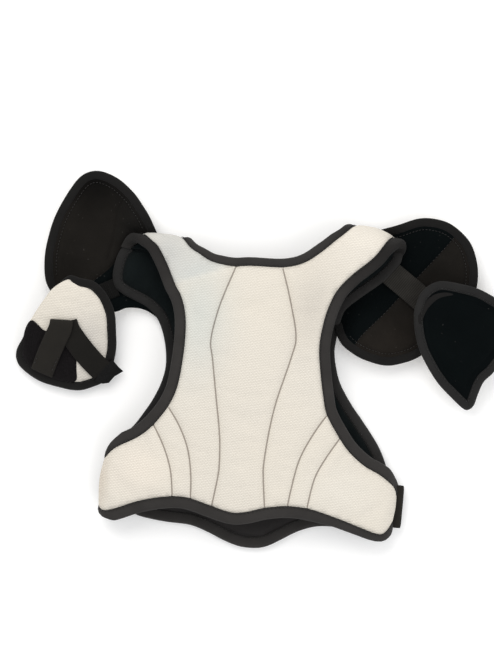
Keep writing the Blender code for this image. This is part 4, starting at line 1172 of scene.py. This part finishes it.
def build_guard(side, points, height_of, outer_up, tucked=()):
    """An arm guard; along the tucked stretch of its edge the tape is turned under."""
    body = "guard_" + side
    place = on_height(height_of)
    outline = smooth(points, True, 2.8)
    if area(outline) < 0:
        outline = outline[::-1]
    width = GUARD_TAPE_LEFT if outer_up else GUARD_TAPE_RIGHT
    shown = np.ones(len(outline))
    if len(tucked):
        gap = distance_to(outline, smooth(tucked))
        shown = np.clip(gap / TUCK_REACH, 0, 1)
        shown = shown * shown * (3 - 2 * shown)
    inner = sideways(outline, -width, True)
    inset = sideways(outline, -(width - 1.5) * shown - 0.2, True)
    tape_outer = sideways(outline, -1.6 * (1 - shown), True)
    soft = lambda plan, edge, seam: pillow(edge, 18, 2.2) - 1.8
    low = lambda plan, edge, seam: -np.full(len(plan), 5.5) + 2.0 * np.clip(1 - edge / 5, 0, 1)
    deep = lambda plan, edge, seam: -np.full(len(plan), 6.2)
    deeper = lambda plan, edge, seam: -7.4 - pillow(edge, 18, 1.4)
    upper_look, lower_look = ("white", "lining") if outer_up else ("teal", "white")
    upper_node, lower_node = ("guard_cover_", "guard_lining_") if outer_up else ("guard_lining_",
            "guard_cover_")
    upper_slot, lower_slot = ("mesh_fabric", "lining") if outer_up else ("lining", "mesh_fabric")
    lines = []
    if not outer_up:
        seam = sideways(outline, -width - 5.5, True)
        seam = seam[distance_to(seam, outline, True) > width + 4.5]
        lines = [seam, sideways(seam, 1.2), sideways(seam, -1.2)]
    raised = lambda plan, edge, seam: soft(plan, edge, seam) - 0.8 * np.exp(-(seam / 1.2) ** 2)
    upper = padded_sheet(upper_node + "soft_" + side, inset, place, raised, low, M[upper_look], lines, 4.2)
    stuff(upper, 0.01, 0.7 if outer_up else 2.0)
    fit(upper, upper_slot, body, upper_node + side, "guard_foam_" + side)
    inset_low = sideways(outline, -width + 1.0, True)
    lower = padded_sheet(lower_node + "soft_" + side, inset_low, place, deep, deeper, M[lower_look], (),
                         6.0)
    fit(lower, lower_slot, body, lower_node + side)
    middle = -3.4 - 3.2 * (1 - shown)
    look = M["rim"] if outer_up else M["tape_dark"]
    band = tape("guard_tape_" + side, inner, tape_outer, place, middle, 4.4 - 1.6 * (1 - shown), look,
                closed=True)
    fit(band, "binding", body, "binding_guard_" + side)
    loop = np.vstack([outline, outline[:1]])
    visible = np.append(shown, shown[0]) > 0.9
    row = sideways(loop, -width + 1.8)
    start = int(np.argmin(visible)) if not visible.all() else 0
    order = np.roll(np.arange(len(row)), -start)
    kept = row[order][visible[order]]
    sewn = stitches("guard_stitches_" + side, kept, place, 0.7, M["thread_dark"])
    fit(sewn, "binding", body)


LOOP_PATCH = [(-246, 43), (-240, 54), (-232, 50), (-224, 44), (-210, 44), (-196, 38), (-189, 24), (-187, 6),
              (-187.5, -8),
              (-205, -8.5), (-226, -3.5), (-240, 5), (-247, 14), (-248, 24)]


def lying(points, height_of, lift, direction, spacing=1.6):
    """A strap's centre line and side directions on a height function; lift may change along it."""
    plan = smooth(points, spacing=spacing)
    if isinstance(lift, list):
        lift = np.interp(np.linspace(0, 1, len(plan)), [at for at, _ in lift], [value for _, value in lift])
    x, y = plan[:, 0], plan[:, 1]
    line = np.stack([x, y, height_of(x, y) + lift], 1)
    if isinstance(direction, list):
        at = np.linspace(0, len(direction) - 1, len(plan))
        dx, dy = [np.interp(at, range(len(direction)), [pair[k] for pair in direction]) for k in (0, 1)]
    else:
        dx, dy = np.full(len(plan), direction[0]), np.full(len(plan), direction[1])
    reach = 10.0
    slope = (height_of(x + dx * reach, y + dy * reach) - height_of(x - dx * reach,
                                                                   y - dy * reach)) / (2 * reach)
    sides = np.stack([dx, dy, slope], 1)
    return line, sides


def add_strap(name, line, sides, width, material, body, node, slot="elastic", **options):
    """A strap that rides one body and stands in for one CAD node."""
    fit(strap(name, line, sides, width, STRAP_THICKNESS, material, **options), slot, body, node)


def build_arm_straps():
    """Loop patches on both arm guards, the folded elastics on them, and their hook tabs."""
    place = on_height(guard_left_level)
    outline = smooth(LOOP_PATCH, True, 3.0)
    if area(outline) < 0:
        outline = outline[::-1]
    patch = padded_sheet("arm_loop_patch_pile_left", outline, place, lambda p, e,
                         s: 1.4 + pillow(e, 3, 0.7),
                         lambda p, e, s: np.full(len(p), -1.0), M["loop"], (), 4.0)
    fit(patch, "loop", "guard_left", "arm_loop_patch_left")
    line, sides = lying([(-224.5, -2), (-218, 18), (-210.5, 38), (-206.5, 49), (-206, 57)],
                        guard_left_level,
                        [(0, 2.8), (0.45, 6.4), (0.9, 8.0), (0.96, 7.2), (1, 4.6)], (1, -0.02))
    add_strap("arm_strap_sewn_leg_left", line, sides, ELASTIC, M["elastic"], "guard_left",
              "arm_strap_anchor_left")
    rows = {"inner": [(-213, 1), (-209, 12), (-204, 26), (-201, 36)],
            "outer": [(-233, 7), (-228, 19), (-223, 32), (-220, 40)],
            "foot": [(-231, 6), (-223, 3), (-215, 1)]}
    run = lengths(line)
    for label, points in rows.items():
        path = smooth(points, spacing=2.0)
        nearest = np.argmin(np.linalg.norm(path[:, None, :] - line[None, :, :2], axis=2), axis=1)
        level = np.mean(np.interp(run[nearest], run, line[:, 2] - guard_left_level(line[:, 0], line[:, 1])))
        row = stitches("arm_strap_box_stitch_" + label, path, place, float(level) + 0.9, M["thread_dark"],
                       pitch=4.6,
                       length=2.6, width=0.7)
        fit(row, "elastic", "guard_left")
    line, sides = lying([(-201.5, 55), (-196.5, 45), (-186, 32), (-173, 18), (-159, 5.5)], guard_left_level,
                        [(0, 3.6), (0.15, 4.4), (1, 4.2)], [(1, 0.05), (0.86, 0.5), (0.68, 0.73),
                                                            (0.64, 0.77), (0.66, 0.75)])
    # the free leg takes the darker copy of the elastic as painted shade
    free = strap("arm_strap_free_left", line, sides, ELASTIC, STRAP_THICKNESS, M["elastic_dark"])
    joint = JOINTS["arm_strap_peel_left"]
    hinge = np.array(joint["pos_m"]) / MM
    outward = np.array([-joint["axis"][1], joint["axis"][0], 0.0])
    if outward[0] < 0:
        outward = -outward
    bend = lambda piece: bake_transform(piece)
    fit(free, "elastic", bend, "arm_strap_left")
    outline = np.array([(-166.5, -5), (-158, -8), (-151.5, -6.5), (-146, 1), (-137, 7.5), (-143, 12.5),
                        (-149, 19),
                        (-155.5, 14.5), (-162.5, 5)], float)
    tab = padded_sheet("arm_hook_tab_soft_left", outline, place, lambda p, e, s: 4.6 + pillow(e, 3, 1.2),
                       lambda p, e, s: np.full(len(p), 3.4), M["hook"], (), 3.0)
    fit(tab, "hook", "arm_strap_left", "arm_hook_tab_left")
    under = lambda x, y: guard_right_level(x, y) - 9.0
    outline = np.array([(244, 62), (262, 60), (271, 80), (267, 99), (250, 102), (243, 84)], float)
    patch = padded_sheet("arm_loop_patch_pile_right", outline, on_height(under), lambda p, e,
                         s: np.full(len(p), -1.5),
                         lambda p, e, s: -2.2 - pillow(e, 3, 0.5), M["loop"], (), 4.0)
    fit(patch, "loop", "guard_right", "arm_loop_patch_right")
    line, sides = lying([(257, 96), (260, 80), (258, 64)], under, -4.4, (1, 0))
    add_strap("arm_strap_sewn_leg_right", line, sides, ELASTIC, M["elastic"], "guard_right",
              "arm_strap_anchor_right")
    turn = [(0, -4.4), (0.10, -4.6), (0.175, -7.2), (0.24, -9.8), (0.3, -10), (1, -10)]
    line, sides = lying([(258, 64), (257.4, 59), (257, 56.6), (257, 57.5), (257.3, 61), (259, 76),
                         (261, 92)], under,
                        turn, (1, 0), 1.0)
    free = strap("arm_strap_free_right", line, sides, ELASTIC, STRAP_THICKNESS, M["elastic"])
    hinge = np.array(JOINTS["arm_strap_peel_right"]["pos_m"]) / MM
    bend = lambda piece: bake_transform(piece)
    fit(free, "elastic", bend, "arm_strap_right")
    line, sides = lying([(260.8, 90), (262, 104), (263, 114)], under, -10.0, (1, 0))
    add_strap("arm_hook_tab_soft_right", line, sides, ELASTIC - 4, M["hook"], "arm_strap_right",
              "arm_hook_tab_right", "hook")


def build_links():
    """Ribbed elastics from the shoulder across each cap to its arm guard."""
    line, sides = lying([(141, 142), (150, 135.5), (160, 128.5), (170, 121.5), (180, 114)],
                        cap_level("right"), 2.6,
                        (0.57, 0.82), 0.3)
    add_strap("link_elastic_ribbed_right", line, sides, ELASTIC + 2, M["link"], "cap_right",
              "link_elastic_right",
              rib=1.3, rib_pitch=2.15)
    line, sides = lying([(-153, 98), (-162, 93), (-172, 88), (-184, 83)], cap_level("left"), 2.2,
                        (0.5, 0.86), 0.3)
    # the left link takes the darker copy of the ribbed elastic as painted shade
    link = strap("link_elastic_ribbed_left", line, sides, ELASTIC - 5, STRAP_THICKNESS, M["link_dark"],
                 rib=0.6, rib_pitch=2.6)
    fit(link, "elastic", lambda piece: follow_cap(piece, "left"), "link_elastic_left")
    fold = smooth([(180, 78), (180.5, 92), (184, 103), (190.5, 112), (201, 119), (213, 122)], spacing=1.5)
    pleat = tape("guard_pleat_right", fold, sideways(fold, -7.0), on_height(guard_right_level), -1.2, 2.0,
                 M["rim"], tapers=(18, 20))
    fit(pleat, "binding", "guard_right")


def build_side_straps():
    """Rib straps: sewn under the wing and turned back beneath it, baked in place; their hook tabs ride the
    side strap bodies.
    """
    runs = {"right": [(162, 15.0), (170, 16.2), (175.5, 15.8), (178.2, 12.5), (176.5, 8), (170, 6),
                      (160, 6), (151, 6)],
            "left": [(-136, 11.5), (-143, 11.5), (-146, 10.4), (-147, 8), (-145.5, 5.6), (-142, 5),
                     (-139.5, 5)]}
    tabs = {"right": [(152.5, 6), (144, 6), (137, 6)], "left": [(-141, 5), (-132, 5), (-126, 5)]}
    for side in ("right", "left"):
        line = smooth([(x, SIDE_STRAP_Y, z) for x, z in runs[side]], spacing=1.5)
        free = strap("side_strap_elastic_" + side, line, (0, 1, 0), SIDE_ELASTIC, STRAP_THICKNESS,
                     M["elastic"])
        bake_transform(free)
        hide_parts("side_strap_" + side)
        line = smooth([(x, SIDE_STRAP_Y, z) for x, z in tabs[side]], spacing=2.0)
        add_strap("side_hook_tab_soft_" + side, line, (0, 1, 0), SIDE_TAB, M["hook"], "side_strap_" + side,
                  "side_hook_tab_" + side, "hook")


# ------------------------------------------------------------------ stage, light and camera
FLOOR_REACH = 14.0
FLOOR_DROP = 0.001
FLOOR_GLOW = 0.13
SKY = 0.75
LIGHT_AIM = (0, 0.03, 0)
SENSOR = 36.0
CAMERA_DISTANCE = 2.4
CAMERA_OVER = (-0.007, 0.065)
CAMERA_ROLL = 5.2
SHARP_PLANE = 0.030
VIEW_HEIGHT = 0.7117


def build_stage():
    """A plain pale floor."""
    floor_mesh = bpy.data.meshes.new("floor")
    reach = FLOOR_REACH
    floor_mesh.from_pydata([(-reach, -reach, 0), (reach, -reach, 0), (reach, reach, 0), (-reach, reach, 0)],
                           [],
                           [(0, 1, 2, 3)])
    floor = bpy.data.objects.new("floor", floor_mesh)
    floor.location.z = -FLOOR_DROP
    n = Nodes("floor_pale")
    tone = n.noise(3.0, 2.0)
    n.finish(n.mix(tone, (0.92, 0.92, 0.915), (0.95, 0.95, 0.95)), 0.9)
    n.shader.inputs["Emission Color"].default_value = (1, 1, 1, 1)
    n.shader.inputs["Emission Strength"].default_value = FLOOR_GLOW
    floor_mesh.materials.append(n.material)
    bpy.context.scene.collection.objects.link(floor)
    floor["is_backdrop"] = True


def add_area(name, place, size, power, colour):
    """A soft square light aimed at the middle of the pads."""
    data = bpy.data.lights.new(name, "AREA")
    data.energy = power
    data.size = size
    data.color = colour
    light = bpy.data.objects.new(name, data)
    bpy.context.scene.collection.objects.link(light)
    light.location = place
    light.rotation_euler = (Vector(LIGHT_AIM) - Vector(place)).to_track_quat("-Z", "Y").to_euler()


def build_light():
    """An even white sky, a warm key light and a cool fill."""
    world = bpy.data.worlds.new("studio")
    bpy.context.scene.world = world
    world.use_nodes = True
    world.node_tree.nodes["Background"].inputs[0].default_value = (1.0, 1.0, 1.0, 1.0)
    world.node_tree.nodes["Background"].inputs[1].default_value = SKY
    add_area("key", (-0.5, 0.9, 1.3), size=1.2, power=13.0, colour=(1.0, 0.98, 0.95))
    add_area("fill", (0.9, -0.6, 1.2), size=1.4, power=7.0, colour=(0.97, 0.98, 1.0))


def build_camera():
    """Straight above the pads, with a slight roll."""
    data = bpy.data.cameras.new("camera")
    data.sensor_width = SENSOR
    data.lens = SENSOR * CAMERA_DISTANCE / VIEW_HEIGHT
    camera = bpy.data.objects.new("camera", data)
    bpy.context.scene.collection.objects.link(camera)
    camera.location = (*CAMERA_OVER, SHARP_PLANE + CAMERA_DISTANCE)
    camera.rotation_euler = (0, 0, math.radians(CAMERA_ROLL))
    bpy.context.scene.camera = camera
    bpy.context.scene.view_settings.view_transform = "Standard"


build_back()
build_chest()
for cap_side in ("left", "right"):
    build_cap(cap_side)
build_guard("left", GUARD_LEFT, guard_left_level, True, [(-240, 56), (-234, 67), (-228, 77), (-222, 86)])
build_guard("right", GUARD_RIGHT, guard_right_level, False)
build_links()
build_arm_straps()
build_side_straps()
build_stage()
build_light()
build_camera()

VISUAL_BOX = [list(corner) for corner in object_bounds()]
({"cad": [[float(v) for v in c] for c in CAD_BOX],
           "visual": [[float(v) for v in c] for c in VISUAL_BOX]})
